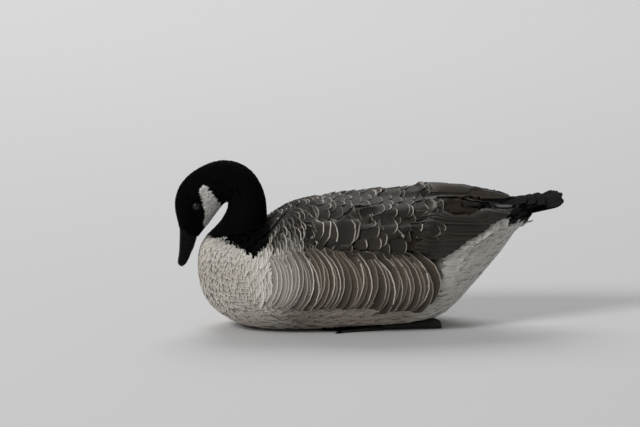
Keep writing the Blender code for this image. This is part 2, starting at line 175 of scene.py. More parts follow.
# The skin. The head, the neck and the body are one hide with no seam, which lies under the solids' surface
# by the depth of the coat. It carries the same markings as the feathers that grow from it.
WRAP_VOXEL = 0.0023
WRAP_SMOOTHING = 12
WING_FILLS = (0.003, 0.006, 0.009, 0.012, 0.015)  # how far copies of the wings are drawn in below them
BODY_AXIS = 0.115         # the height of the line that they are drawn to
SKIN_WING_END = 0.185     # behind this the wings are feathers alone
SKIN_TAIL_END = 0.232     # and behind this the tail is
COAT_DEPTH = (0.0012, 0.0018, 0.0044)             # on the head, the neck and the body
AROUND_STEPS = 96
ALONG_STEP = 0.1
FLOW_STEP = 0.25

# The rings in which the feathers grow, from the bill's base to the tail's root: the back point (x, z), the
# belly point (x, z) and the shift to the bird's left.
RINGS = np.array([
    (-0.2661, 0.1390, -0.2432, 0.1268, -0.005),
    (-0.2702, 0.1582, -0.2303, 0.1432, -0.005),
    (-0.2724, 0.1798, -0.2208, 0.1547, -0.005),
    (-0.2646, 0.2025, -0.2118, 0.1668, -0.005),
    (-0.2451, 0.2212, -0.2052, 0.1748, -0.005),
    (-0.2186, 0.2332, -0.2019, 0.1774, -0.004),
    (-0.1860, 0.2320, -0.1985, 0.1764, -0.003),
    (-0.1589, 0.2114, -0.1973, 0.1714, -0.001),
    (-0.1458, 0.1796, -0.2006, 0.1610, 0.0),
    (-0.1450, 0.1470, -0.2288, 0.1277, 0.0),
    (-0.1335, 0.1515, -0.2395, 0.0920, 0.0),
    (-0.1010, 0.1745, -0.2262, 0.0360, 0.0),
    (-0.0420, 0.1795, -0.1500, -0.0010, 0.0),
    (0.0250, 0.1780, -0.0250, -0.0040, 0.0),
    (0.1050, 0.1735, 0.1020, 0.0160, 0.0),
    (0.1680, 0.1670, 0.1720, 0.0880, 0.0),
    (0.2100, 0.1650, 0.2128, 0.1480, 0.0),
])
NECK_RING = 9.0           # the ring at the neck's base
LAST_RING = len(RINGS) - 1.0


def through(table, at):
    """Rows between the table's rows, on a smooth curve through them all."""
    at = np.clip(np.asarray(at, float), 0.0, len(table) - 1.0)
    low = np.minimum(at.astype(int), len(table) - 2)
    t = (at - low)[:, None]
    p0, p1 = table[np.maximum(low - 1, 0)], table[low]
    p2, p3 = table[low + 1], table[np.minimum(low + 2, len(table) - 1)]
    return (p1 * (2 * t**3 - 3 * t**2 + 1) + (p2 - p0) / 2 * (t**3 - 2 * t**2 + t)
            + p2 * (3 * t**2 - 2 * t**3) + (p3 - p1) / 2 * (t**3 - t**2))


def add_solid(build, name, drawn_in=0.0):
    """Adds a copy of a solid's mesh, with its loose triangles joined, and draws it in to the body's axis."""
    first = len(build.verts)
    build.from_mesh(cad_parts[name].data)
    build.verts.ensure_lookup_table()
    fresh = build.verts[first:]
    for vertex in fresh:
        inward = Vector((0, -vertex.co.y, BODY_AXIS - vertex.co.z))
        vertex.co += inward.normalized() * min(drawn_in, inward.length)
    bmesh.ops.remove_doubles(build, verts=fresh, dist=1e-6)


def trimmed(build, end):
    """Cuts away what lies behind an x, and closes the cut."""
    parts = build.verts[:] + build.edges[:] + build.faces[:]
    cut = bmesh.ops.bisect_plane(build, geom=parts, plane_co=(end, 0, 0), plane_no=(1, 0, 0),
                                 clear_outer=True)
    edges = [piece for piece in cut["geom_cut"] if isinstance(piece, bmesh.types.BMEdge)]
    bmesh.ops.holes_fill(build, edges=edges, sides=0)


def whole_bird(wing_end=None, tail_end=None):
    """The solids of flesh and feathers in one mesh. The room under the folded wings is filled."""
    build = bmesh.new()
    for name in ("trunk", "neck_lower", "neck_upper", "head"):
        add_solid(build, name)
    for names, end in ((("tail",), tail_end), (("wing_left", "wing_right"), wing_end)):
        for name in names:
            part = bmesh.new()
            add_solid(part, name)
            if name != "tail":
                for drawn_in in WING_FILLS:
                    add_solid(part, name, drawn_in)
            if end is not None:
                trimmed(part, end)
            spare = bpy.data.meshes.new("spare")
            part.to_mesh(spare)
            part.free()
            build.from_mesh(spare)
            bpy.data.meshes.remove(spare)
    return build


def store(mesh, label, kind, values):
    """Stores a value for each point of the mesh."""
    part = {"FLOAT": "value", "FLOAT_VECTOR": "vector", "FLOAT_COLOR": "color"}[kind]
    mesh.attributes.new(label, kind, "POINT").data.foreach_set(part, np.asarray(values, np.float32).ravel())


def plain_mesh(made, name):
    """The object's evaluated mesh, as a plain mesh."""
    graph = bpy.context.evaluated_depsgraph_get()
    mesh = bpy.data.meshes.new_from_object(made.evaluated_get(graph), preserve_all_data_layers=True,
                                           depsgraph=graph)
    mesh.name = name
    return mesh


def wrapped(build, name):
    """One smooth closed surface round everything in the mesh, with what lies inside left out."""
    mesh = bpy.data.meshes.new(name)
    build.to_mesh(mesh)
    build.free()
    source = mesh_object(name, mesh)
    wrap = source.modifiers.new("wrap", "REMESH")
    wrap.mode = "VOXEL"
    wrap.voxel_size = WRAP_VOXEL
    wrap.use_smooth_shade = True
    soften = source.modifiers.new("soften", "SMOOTH")
    soften.factor = 0.5
    soften.iterations = WRAP_SMOOTHING
    result = plain_mesh(source, name)
    bpy.data.objects.remove(source)
    build = bmesh.new()
    build.from_mesh(result)
    left, groups = set(build.verts), []
    while left:
        group, front = set(), [left.pop()]
        while front:
            vertex = front.pop()
            group.add(vertex)
            for edge in vertex.link_edges:
                other = edge.other_vert(vertex)
                if other in left:
                    left.discard(other)
                    front.append(other)
        groups.append(group)
    groups.sort(key=len)
    bmesh.ops.delete(build, geom=[v for group in groups[:-1] for v in group], context="VERTS")
    build.to_mesh(result)
    return result, build


coat_mesh, coat_build = wrapped(whole_bird(), "coat_surface")
coat_tree = BVHTree.FromBMesh(coat_build)
coat_build.free()
coat_object = mesh_object("coat_surface", coat_mesh)


def unit(vectors):
    return vectors / np.maximum(np.linalg.norm(vectors, axis=-1, keepdims=True), 1e-12)


def ring_frames(at):
    """The middle of each ring and the way to its back point."""
    rows = through(RINGS, at)
    back, belly = rows[:, 0:2], rows[:, 2:4]
    middle = np.stack([(back[:, 0] + belly[:, 0]) / 2, rows[:, 4], (back[:, 1] + belly[:, 1]) / 2], axis=1)
    up = unit(np.stack([back[:, 0] - belly[:, 0], 0 * rows[:, 4], back[:, 1] - belly[:, 1]], axis=1))
    return middle, up


ring_places = np.arange(0.0, LAST_RING + ALONG_STEP / 2, ALONG_STEP)
ring_angles = 2 * np.pi * np.arange(AROUND_STEPS) / AROUND_STEPS
ring_grid = np.zeros((len(ring_places), AROUND_STEPS, 3))
for row, (middle, up) in enumerate(zip(*ring_frames(ring_places))):
    for column, angle in enumerate(ring_angles):
        way = Vector(up * math.cos(angle) + np.array((0.0, math.sin(angle), 0.0)))
        hit = coat_tree.ray_cast(Vector(middle), way)
        ring_grid[row, column] = hit[0] if hit[0] is not None else middle


def on_body(at, around):
    """Points on the coat's surface. At counts rings from the bill, and around is an angle from the back."""
    row = np.clip(np.asarray(at) / ALONG_STEP, 0, len(ring_places) - 1.001)
    column = (np.asarray(around) / (2 * np.pi) % 1.0) * AROUND_STEPS
    r, c = row.astype(int), column.astype(int) % AROUND_STEPS
    tr, tc = (row - r)[:, None], (column - column.astype(int))[:, None]
    after = (c + 1) % AROUND_STEPS
    return ((ring_grid[r, c] * (1 - tc) + ring_grid[r, after] * tc) * (1 - tr)
            + (ring_grid[r + 1, c] * (1 - tc) + ring_grid[r + 1, after] * tc) * tr)


def flow(at, around):
    """The way from each ring to the next one, along the coat."""
    ahead, behind = np.minimum(at + FLOW_STEP, LAST_RING), np.maximum(at - FLOW_STEP, 0)
    return unit(on_body(ahead, around) - on_body(behind, around))


ring_search = KDTree(ring_grid.size // 3)
for place, point in enumerate(ring_grid.reshape(-1, 3)):
    ring_search.insert(point, place)
ring_search.balance()


def body_place(points):
    """The ring and the angle where each point lies, from the nearest points of the rings."""
    at, around = np.zeros(len(points)), np.zeros(len(points))
    for row, point in enumerate(points):
        near = ring_search.find_n(point, 4)
        weights = np.array([1 / (distance + 1e-5) for _, _, distance in near])
        weights /= weights.sum()
        places = np.array([index for _, index, _ in near])
        angles = ring_angles[places % AROUND_STEPS]
        at[row] = (ring_places[places // AROUND_STEPS] * weights).sum()
        around[row] = math.atan2((np.sin(angles) * weights).sum(), (np.cos(angles) * weights).sum())
    return at, around


def surface_normals(points):
    return np.array([tuple(coat_tree.find_nearest(Vector(p))[1]) for p in points])


def paint(red, green, blue):
    """A colour as it looks on a screen, turned to the shader's own values."""
    return np.array((red, green, blue)) ** 2.2


def ramp(value, start, end):
    t = np.clip((np.asarray(value, float) - start) / (end - start), 0, 1)
    return t * t * (3 - 2 * t)


def blend(first, second, share):
    share = np.asarray(share)[..., None]
    return first * (1 - share) + second * share


HEAD_BLACK = paint(0.040, 0.038, 0.038)
CHEEK_WHITE = paint(0.90, 0.89, 0.87)
BREAST_PALE = paint(0.98, 0.965, 0.93)
# The pale breast painted darker toward the waterline, as painted shade.
BREAST_SHADED = paint(0.75, 0.725, 0.685)
BACK_BROWN = paint(0.25, 0.222, 0.195)
FLANK_BROWN = paint(0.36, 0.325, 0.285)
BELLY_GREY = paint(0.66, 0.62, 0.57)
VENT_WHITE = paint(0.84, 0.83, 0.80)
RUMP_BLACK = paint(0.026, 0.025, 0.025)

# The spans over which these colours come in: along x, in height, and by the cosine of the turn from the
# back. Where a colour comes in as the value falls, the span is that of its opposite: the x of the breast,
# the heights of all but the tail's root, and the turns of the flank and the vent.
FLANK_TURN, FLANK_X = (-0.45, 0.35), (-0.15, -0.08)
BREAST_X, BREAST_Z, BREAST_SHADE_Z = (0.095, 0.150), (-0.145, -0.118), (-0.122, -0.085)
BELLY_Z, BELLY_X = (-0.075, -0.030), (-0.16, -0.05)
VENT_X, VENT_TURN = (0.080, 0.100), (-0.55, -0.25)
LOW_VENT_X, LOW_VENT_Z = (0.03, 0.09), (-0.06, -0.03)
RUMP_X, RUMP_TURN = (0.140, 0.155), (0.45, 0.62)
TAIL_ROOT_X, TAIL_ROOT_Z = (0.180, 0.190), (0.143, 0.150)
NAPE_X = -0.1405          # the black of the neck ends here on the back
NECK_BLACK_RINGS = (8.2, 12.2)     # all is black before the first, and nothing is after the second
CHEEK_RINGS = 6.0
DEPTH_RINGS = (4.5, 6.0, 8.0, 10.0)

# The outline of the white cheek, up behind the eye from the throat, and the lower edge of the black neck,
# both as (x, z) seen from the side.
CHEEK_OUTLINE = np.array([
    (-0.2335, 0.1430), (-0.2350, 0.1530), (-0.2335, 0.1620), (-0.2345, 0.1720), (-0.2368, 0.1800),
    (-0.2400, 0.1890), (-0.2418, 0.1960), (-0.2385, 0.2035), (-0.2320, 0.2030), (-0.2260, 0.1970),
    (-0.2190, 0.1870), (-0.2110, 0.1760), (-0.2050, 0.1690), (-0.2150, 0.1560),
])
NECK_EDGE_X = (-0.240, -0.227, -0.211, -0.192, -0.1725, -0.166, -0.157, -0.150, -0.146, -0.140)
NECK_EDGE_Z = (0.136, 0.133, 0.128, 0.121, 0.1105, 0.115, 0.123, 0.135, 0.148, 0.160)


def inside(points, outline):
    """Whether each (x, z) point lies inside an outline."""
    x, z = points[:, 0], points[:, 1]
    found = np.zeros(len(points), bool)
    for (x0, z0), (x1, z1) in zip(outline, np.roll(outline, -1, axis=0)):
        crosses = (z0 > z) != (z1 > z)
        reach = x0 + (z - z0) * (x1 - x0) / (z1 - z0 if z1 != z0 else 1e-9)
        found ^= crosses & (x < reach)
    return found


def neck_black(points, at):
    """Whether each place lies on the black head and neck."""
    x, z = points[:, 0], points[:, 2]
    above = z > np.interp(x, NECK_EDGE_X, NECK_EDGE_Z)
    return (at < NECK_BLACK_RINGS[0]) | ((at < NECK_BLACK_RINGS[1]) & (x < NAPE_X) & above)


def markings(points, at, around):
    """The colour of the plumage at each place."""
    x, z = points[:, 0], points[:, 2]
    tint = np.tile(BACK_BROWN, (len(points), 1))
    turn = np.cos(around)
    tint = blend(tint, FLANK_BROWN, ramp(-turn, *FLANK_TURN) * ramp(x, *FLANK_X))
    # Painted shade: the breast darkens toward the waterline.
    breast = blend(np.tile(BREAST_PALE, (len(points), 1)), BREAST_SHADED, ramp(-z, *BREAST_SHADE_Z))
    tint = blend(tint, breast, ramp(-x, *BREAST_X) * ramp(-z, *BREAST_Z))
    tint = blend(tint, BELLY_GREY, ramp(-z, *BELLY_Z) * ramp(x, *BELLY_X))
    vent = ramp(x, *VENT_X) * ramp(-turn, *VENT_TURN)
    tint = blend(tint, VENT_WHITE, np.maximum(vent, ramp(x, *LOW_VENT_X) * ramp(-z, *LOW_VENT_Z)))
    rump = ramp(x, *RUMP_X) * ramp(turn, *RUMP_TURN)
    tint = blend(tint, RUMP_BLACK, np.maximum(rump, ramp(x, *TAIL_ROOT_X) * ramp(z, *TAIL_ROOT_Z)))
    tint[neck_black(points, at)] = HEAD_BLACK
    cheek = (at < CHEEK_RINGS) & inside(np.stack([x, z], axis=1), CHEEK_OUTLINE)
    tint[cheek] = CHEEK_WHITE
    return tint


skin_mesh, skin_build = wrapped(whole_bird(SKIN_WING_END, SKIN_TAIL_END), "skin")
skin_build.verts.ensure_lookup_table()
skin_points = np.array([v.co[:] for v in skin_build.verts])
skin_normals = np.array([v.normal[:] for v in skin_build.verts])
skin_build.free()
skin_at, skin_around = body_place(skin_points)
skin_depth = np.interp(skin_at, DEPTH_RINGS, (COAT_DEPTH[0], COAT_DEPTH[1], COAT_DEPTH[1], COAT_DEPTH[2]))
skin_tint = np.column_stack([markings(skin_points, skin_at, skin_around), np.ones(len(skin_points))])
skin_points -= skin_normals * skin_depth[:, None]
skin_points[:, 2] = np.maximum(skin_points[:, 2], 0.0)
skin_mesh.vertices.foreach_set("co", skin_points.astype(np.float32).ravel())
store(skin_mesh, "tint", "FLOAT_COLOR", skin_tint)
skin_finish, tree, shader = finish_material("skin_down", 0.85, Specular_IOR_Level=0.05)
skin_colour = node(tree, "ShaderNodeAttribute", attribute_name="tint")
down_place = node(tree, "ShaderNodeTexCoord").outputs["Object"]
down_grain = texture(tree, "ShaderNodeTexNoise", down_place, 900.0).outputs["Fac"]
down_shade = node(tree, "ShaderNodeMapRange", down_grain, 0.3, 0.7, 0.55, 0.9)
down_mix = node(tree, "ShaderNodeVectorMath", skin_colour.outputs["Color"], down_shade.outputs["Result"],
                operation="MULTIPLY")
tree.links.new(down_mix.outputs[0], shader.inputs["Base Color"])
give_relief(tree, shader, down_grain, 0.0004)
skin_mesh.materials.clear()
skin_mesh.materials.append(skin_finish)
skin_mesh.shade_smooth()
skin = mesh_object("skin", skin_mesh)
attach(skin, "root")
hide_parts("trunk", "neck_lower", "neck_upper", "head", "wing_left", "wing_right", "tail")


# The vanes. Each feather is a closed solid leaf, thin at its edges, with a root, a shaft and a rounded tip.
# One tree of nodes sets a vane on each root, turns it along the flow, lays it down on the coat's surface
# and stores what its finish needs: the gaps to the tip and to the sides, and its own place on the unwrap.
VANE_ROOT_WIDTH = 0.35
FLOOR_EASE = 0.0008            # feathers nearer the floor than this are pressed flat on it


def vane_mesh(name, along_steps, across_steps, tip_curve, tip_power, fray=0.0, narrow=0.0):
    """A leaf one unit long and one wide, with a top and an underside. Its tip curves back at the sides."""
    rows, columns = along_steps + 1, across_steps + 1
    places = []
    for top in (1.0, 0.0):
        for i in range(rows):
            u = i / along_steps
            width = VANE_ROOT_WIDTH + (1 - VANE_ROOT_WIDTH) * float(ramp(u, 0.0, 0.45))
            width *= 1 - narrow * u
            for j in range(columns):
                v = 2 * j / across_steps - 1
                length = 1 - tip_curve * abs(v) ** tip_power
                ragged = fray * (0.5 - (j * 0.618 + 0.3) % 1.0) if 0 < j < across_steps else 0.0
                places.append((u * (length + ragged * u), v * width / 2, 0.02 * top, u, v, top))
    places = np.array(places)
    count = rows * columns
    faces = []
    for i in range(along_steps):
        for j in range(across_steps):
            a, b = i * columns + j, (i + 1) * columns + j
            faces.append((a, b, b + 1, a + 1))
            faces.append((count + a, count + a + 1, count + b + 1, count + b))
    rim = [i * columns for i in range(rows)] + [count - columns + j for j in range(1, columns)]
    rim += [i * columns + across_steps for i in range(rows - 2, -1, -1)]
    rim += list(range(across_steps - 1, 0, -1))
    rim_edges = set()
    for a, b in zip(rim, rim[1:] + rim[:1]):
        faces.append((b, a, count + a, count + b))
        rim_edges |= {(min(a, b), max(a, b)), (count + min(a, b), count + max(a, b))}
    mesh = bpy.data.meshes.new(name)
    mesh.from_pydata(places[:, :3].tolist(), [], faces)
    for label, column in (("along", 3), ("across", 4), ("top", 5)):
        store(mesh, label, "FLOAT", places[:, column])
    sharp = [tuple(sorted(edge.vertices)) in rim_edges for edge in mesh.edges]
    mesh.attributes.new("sharp_edge", "BOOLEAN", "EDGE").data.foreach_set("value", sharp)
    made = mesh_object(name, mesh)
    made.hide_render = True
    return made


def feather_layer():
    """The tree that lays one tract of feathers."""
    tree = bpy.data.node_groups.new("feather layer", "GeometryNodeTree")
    face = tree.interface
    face.new_socket("Roots", in_out="INPUT", socket_type="NodeSocketGeometry")
    for name in ("Vane", "Coat Surface"):
        face.new_socket(name, in_out="INPUT", socket_type="NodeSocketObject")
    for name in ("Root Depth", "Tip Lift", "Camber", "Thickness", "Shaft", "Cling"):
        face.new_socket(name, in_out="INPUT", socket_type="NodeSocketFloat")
    face.new_socket("Patch", in_out="INPUT", socket_type="NodeSocketVector")
    face.new_socket("Finish", in_out="INPUT", socket_type="NodeSocketMaterial")
    face.new_socket("Feathers", in_out="OUTPUT", socket_type="NodeSocketGeometry")
    given = tree.nodes.new("NodeGroupInput").outputs

    def attribute(name, kind="FLOAT"):
        return node(tree, "GeometryNodeInputNamedAttribute", name, data_type=kind).outputs[0]

    def math_node(operation, *sources):
        return node(tree, "ShaderNodeMath", *sources, operation=operation).outputs[0]

    def vector(operation, *sources):
        return node(tree, "ShaderNodeVectorMath", *sources, operation=operation)

    def stored(geometry, name, value, kind="FLOAT", domain="POINT"):
        return node(tree, "GeometryNodeStoreNamedAttribute", geometry, None, name, value,
                    data_type=kind, domain=domain).outputs[0]

    long, wide = attribute("long"), attribute("wide")
    turned = node(tree, "FunctionNodeAxesToRotation", attribute("lie", "FLOAT_VECTOR"),
                  attribute("out", "FLOAT_VECTOR"), primary_axis="X", secondary_axis="Z")
    vane = node(tree, "GeometryNodeObjectInfo", given["Vane"]).outputs["Geometry"]
    size = node(tree, "ShaderNodeCombineXYZ", long, wide, long)
    set_out = node(tree, "GeometryNodeInstanceOnPoints", given["Roots"], None, vane, None, None,
                   turned.outputs[0], size.outputs[0]).outputs[0]
    loose = node(tree, "GeometryNodeRealizeInstances", set_out).outputs[0]

    surface = node(tree, "GeometryNodeObjectInfo", given["Coat Surface"]).outputs["Geometry"]
    here = node(tree, "GeometryNodeInputPosition").outputs[0]
    ground, upward = [
        node(tree, "GeometryNodeSampleNearestSurface", surface, value, None, here,
             data_type="FLOAT_VECTOR").outputs[0]
        for value in (here, attribute("smooth_out", "FLOAT_VECTOR"))]
    loose_share = math_node("SUBTRACT", 1.0, given["Cling"])

    def clung(flat, laid_down):
        parts = [vector("SCALE", flat), vector("SCALE", laid_down)]
        for part, share in zip(parts, (loose_share, given["Cling"])):
            tree.links.new(share, part.inputs["Scale"])
        return vector("ADD", parts[0].outputs[0], parts[1].outputs[0]).outputs[0]

    ground = clung(here, ground)
    upward = clung(attribute("out", "FLOAT_VECTOR"), upward)
    along, across, top = attribute("along"), attribute("across"), attribute("top")
    lift = math_node("ADD", given["Tip Lift"], attribute("rise"))
    sunk = math_node("MULTIPLY", math_node("SUBTRACT", along, 1.0), given["Root Depth"])
    height = math_node("ADD", sunk, math_node("MULTIPLY", lift, math_node("MULTIPLY", along, along)))
    height = math_node("ADD", height, math_node("MULTIPLY", across, attribute("lean")))
    height = math_node("ADD", height, attribute("level"))
    bulge = math_node("SUBTRACT", 1.0, math_node("MULTIPLY", across, across))
    height = math_node("ADD", height, math_node("MULTIPLY", bulge, given["Camber"]))
    shaft = math_node("MULTIPLY", math_node("LESS_THAN", math_node("ABSOLUTE", across), 0.02), given["Shaft"])
    body = math_node("MULTIPLY", top, math_node("ADD", given["Thickness"], shaft))
    height = math_node("ADD", height, body)
    raised = vector("SCALE", upward)
    tree.links.new(height, raised.inputs["Scale"])
    laid = node(tree, "GeometryNodeSetPosition", loose, None,
                vector("ADD", ground, raised.outputs[0]).outputs[0]).outputs[0]

    laid = stored(laid, "tip_gap", math_node("MULTIPLY", math_node("SUBTRACT", 1.0, along), long))
    side = math_node("SUBTRACT", 1.0, math_node("ABSOLUTE", across))
    laid = stored(laid, "side_gap", math_node("MULTIPLY", side, math_node("MULTIPLY", wide, 0.5)))
    corner = node(tree, "ShaderNodeCombineXYZ", math_node("SUBTRACT", along, 0.5),
                  math_node("MULTIPLY", across, 0.5), 0.0).outputs[0]
    patch = vector("MULTIPLY", corner, given["Patch"]).outputs[0]
    spot = vector("ADD", patch, attribute("unwrap", "FLOAT_VECTOR")).outputs[0]
    laid = stored(laid, "OFBake", spot, "FLOAT2", "CORNER")
    laid = node(tree, "GeometryNodeSetMaterial", laid, None, given["Finish"]).outputs[0]
    node(tree, "NodeGroupOutput", laid)
    return tree


layer_tree = feather_layer()
layer_input = {item.name: item.identifier for item in layer_tree.interface.items_tree
               if item.in_out == "INPUT"}
coat_normals = np.array([v.normal[:] for v in coat_mesh.vertices])
store(coat_mesh, "smooth_out", "FLOAT_VECTOR", coat_normals)


def lay_feathers(name, vane, finish, slot, roots, lie, long, wide, tint, tip_tint, rise=0.0, lean=0.0002,
                 level=0.0, root_depth=0.003, tip_lift=0.0006, camber=0.0004, thickness=0.0003, shaft=0.0,
                 patch=(0.003, 0.003), spread=False, out=None, cling=1.0):
    """Makes one piece of the coat: a feather on each root, along the lie, with its own size and colours."""
    count = len(roots)
    at, around = body_place(roots)
    mesh = bpy.data.meshes.new(name + "_roots")
    mesh.from_pydata(roots.tolist(), [], [])
    unwrap = np.stack([at / LAST_RING, around / (2 * np.pi) % 1.0, 0 * at], axis=1)
    if spread:
        low, high = unwrap.min(axis=0), unwrap.max(axis=0)
        unwrap = (unwrap - low) / np.maximum(high - low, 1e-6)
    room = np.array((*patch, 0.0))
    unwrap = 0.01 + room / 2 + unwrap * (0.98 - room)
    vectors = {"lie": lie, "out": surface_normals(roots) if out is None else out, "unwrap": unwrap}
    floats = {"long": long, "wide": wide, "rise": rise, "lean": lean, "level": level,
              "vary": seeded.random(count)}
    for label, values in vectors.items():
        store(mesh, label, "FLOAT_VECTOR", values)
    for label, values in floats.items():
        store(mesh, label, "FLOAT", np.broadcast_to(values, count))
    for label, values in (("tint", tint), ("tip_tint", tip_tint)):
        colours = np.column_stack([np.broadcast_to(values, (count, 3)), np.ones(count)])
        store(mesh, label, "FLOAT_COLOR", colours)
    holder = mesh_object(name + "_roots", mesh)
    layer = holder.modifiers.new("feathers", "NODES")
    layer.node_group = layer_tree
    values = {"Vane": vane, "Coat Surface": coat_object, "Root Depth": root_depth, "Tip Lift": tip_lift,
              "Camber": camber, "Thickness": thickness, "Shaft": shaft, "Cling": cling,
              "Patch": (patch[0], patch[1], 0.0), "Finish": finish}
    for label, value in values.items():
        layer[layer_input[label]] = value
    feathers = plain_mesh(holder, name)
    bpy.data.objects.remove(holder)
    places = np.zeros(len(feathers.vertices) * 3, np.float32)
    feathers.vertices.foreach_get("co", places)
    low = np.minimum(places[2::3], FLOOR_EASE)
    places[2::3] += FLOOR_EASE * np.exp(low / FLOOR_EASE - 1) - low
    feathers.vertices.foreach_set("co", places)
    for label in ("lie", "out", "unwrap", "long", "wide", "rise", "lean", "level", "top"):
        if label in feathers.attributes:
            feathers.attributes.remove(feathers.attributes[label])
    feathers.shade_smooth()
    made = mesh_object(name, feathers)
    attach(made, "root")
    return made


def feather_finish():
    """The colour and the relief of a vane: a pale margin, barbs, and painted shade that darkens it away from
    its tip.
    """
    tree = bpy.data.node_groups.new("feather finish", "ShaderNodeTree")
    face = tree.interface
    for name, value in (("Tip Width", 0.002), ("Side Width", 0.001), ("Barb Size", 0.0007),
                        ("Barb Depth", 0.2), ("Shade Variation", 0.2), ("Base Shade", 1.0),
                        ("Base Reach", 0.01), ("Edge Fade", 0.0)):
        face.new_socket(name, in_out="INPUT", socket_type="NodeSocketFloat").default_value = value
    face.new_socket("Colour", in_out="OUTPUT", socket_type="NodeSocketColor")
    face.new_socket("Height", in_out="OUTPUT", socket_type="NodeSocketFloat")
    given = tree.nodes.new("NodeGroupInput").outputs

    def attribute(name, output="Fac"):
        return node(tree, "ShaderNodeAttribute", attribute_name=name).outputs[output]

    def math_node(operation, *sources, clamp=False):
        return node(tree, "ShaderNodeMath", *sources, operation=operation, use_clamp=clamp).outputs[0]

    def eased(source, *spans):
        """The source carried smoothly from one span (two values) to another (two more)."""
        return node(tree, "ShaderNodeMapRange", source, *spans, interpolation_type="SMOOTHSTEP").outputs[0]

    tip_gap, side_gap, across, vary = [attribute(name) for name in ("tip_gap", "side_gap", "across", "vary")]
    place = node(tree, "ShaderNodeTexCoord").outputs["Object"]
    wander, frayed, fine = [texture(tree, "ShaderNodeTexNoise", place, scale, detail).outputs["Fac"]
                            for scale, detail in ((260.0, 3.0), (1100.0, None), (1500.0, None))]
    uneven = math_node("MULTIPLY_ADD", wander, 1.3, 0.1)
    uneven = math_node("MULTIPLY_ADD", frayed, 0.5, uneven)
    shares = []
    for gap, reach in ((tip_gap, given["Tip Width"]), (side_gap, given["Side Width"])):
        reach = math_node("MULTIPLY", reach, uneven)
        shares.append(math_node("SUBTRACT", 1.0, math_node("DIVIDE", gap, reach)))
    edge = math_node("MAXIMUM", *shares)
    margin = eased(edge, 0.0, 0.55, 0.0, 1.0)
    toward_side = eased(math_node("ABSOLUTE", across), 0.45, 0.95, 0.0, 1.0)
    faded = math_node("SUBTRACT", 1.0, math_node("MULTIPLY", toward_side, given["Edge Fade"]))
    margin = math_node("MULTIPLY", margin, faded)

    slant = math_node("MULTIPLY_ADD", math_node("ABSOLUTE", across), -0.0035, tip_gap)
    turns = math_node("MULTIPLY", math_node("DIVIDE", slant, given["Barb Size"]), 2 * math.pi)
    wave = math_node("SINE", turns)
    barbs = math_node("MULTIPLY_ADD", wave, 0.5, fine)
    barb_shade = math_node("MULTIPLY_ADD", math_node("MULTIPLY", barbs, given["Barb Depth"]), 0.5, 0.9)
    own = math_node("MULTIPLY_ADD", math_node("SUBTRACT", vary, 0.5), given["Shade Variation"], 1.0)
    # Painted shade: the vane darkens away from its tip, standing in for the shade of the feather that lies
    # over it.
    inner = eased(tip_gap, 0.0, given["Base Reach"], 1.0, given["Base Shade"])
    shade = math_node("MULTIPLY", math_node("MULTIPLY", barb_shade, own), inner)
    base = node(tree, "ShaderNodeVectorMath", attribute("tint", "Color"), operation="SCALE")
    tree.links.new(shade, base.inputs["Scale"])
    colour = between(tree, margin, base.outputs[0], attribute("tip_tint", "Color"))
    node(tree, "NodeGroupOutput", colour, barbs)
    return tree


finish_tree = feather_finish()


def plumage(name, roughness, relief=0.00008, sheen=0.0, gloss=0.35, **values):
    """A material of feathers, with its own values for the margins, the barbs and the painted shade."""
    made, tree, shader = finish_material(name, roughness, Sheen_Weight=sheen, Specular_IOR_Level=gloss)
    group = node(tree, "ShaderNodeGroup", node_tree=finish_tree)
    for label, value in values.items():
        group.inputs[label.replace("_", " ")].default_value = value
    tree.links.new(group.outputs["Colour"], shader.inputs["Base Color"])
    give_relief(tree, shader, group.outputs["Height"], relief)
    return made


# The eyes. Each is a dark brown ball with a black pupil and a wet clear front, set deep in the head. A bare
# black eyelid with fine folds lies close round it, and ends under the smallest feathers.
HEAD_TURN = math.radians(4)
EYE_BULGE = 0.0003             # how far the clear front stands out of the ball
EYE_GAZE = (-0.10, 0.04)       # how far the pupils look forward and up
EYE_STEPS = (30, 48)
LID_HALF = (0.0050, 0.0042)    # the opening's half length and half height
LID_CORNER = 0.0008            # how far its front corner is drawn out
LID_REACH = 0.0068             # where the lid ends under the feathers
LID_LEVEL = 0.0041             # the height of its outer part over the eye's middle
LID_WALL = 0.0004
LID_FOLDS = 0.00014
LID_STEPS = (14, 72)
IRIS_STOPS = ((0.40, (0.02, 0.02, 0.02)), (0.46, (0.11, 0.07, 0.05)),  # from the pupil out
              (0.75, (0.09, 0.055, 0.04)), (0.86, (0.03, 0.025, 0.02)))


def grid_faces(rows, columns, first=0, closed=True):
    """The faces between rows of points. Each row is a closed ring, or an open strip."""
    faces = []
    for i in range(rows - 1):
        for j in range(columns if closed else columns - 1):
            a, b = first + i * columns + j, first + i * columns + (j + 1) % columns
            faces.append((a, b, b + columns, a + columns))
    return faces


def solid_piece(name, points, faces, finish, replaced=(), values=None):
    """A closed piece of mesh that rides on the body. Its faces are turned outward."""
    mesh = bpy.data.meshes.new(name)
    mesh.from_pydata(np.asarray(points).tolist(), [], faces)
    for label, numbers in (values or {}).items():
        store(mesh, label, "FLOAT", numbers)
    build = bmesh.new()
    build.from_mesh(mesh)
    bmesh.ops.remove_doubles(build, verts=build.verts, dist=1e-7)
    bmesh.ops.recalc_face_normals(build, faces=build.faces)
    build.to_mesh(mesh)
    build.free()
    mesh.materials.append(finish)
    mesh.shade_smooth()
    made = mesh_object(name, mesh)
    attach(made, "root")
    if replaced:
        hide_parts(*replaced)
    return made


def closed_rings(name, rings, finish, replaced=(), values=None):
    """A closed piece through rings of points, with its two ends capped."""
    rings = np.asarray(rings)
    count, columns = rings.shape[:2]
    points = np.concatenate([rings.reshape(-1, 3), [rings[0].mean(axis=0), rings[-1].mean(axis=0)]])
    faces = grid_faces(count, columns)
    for centre, first in ((count * columns, 0), (count * columns + 1, (count - 1) * columns)):
        faces += [(centre, first + j, first + (j + 1) % columns) for j in range(columns)]
    return solid_piece(name, points, faces, finish, replaced, values)


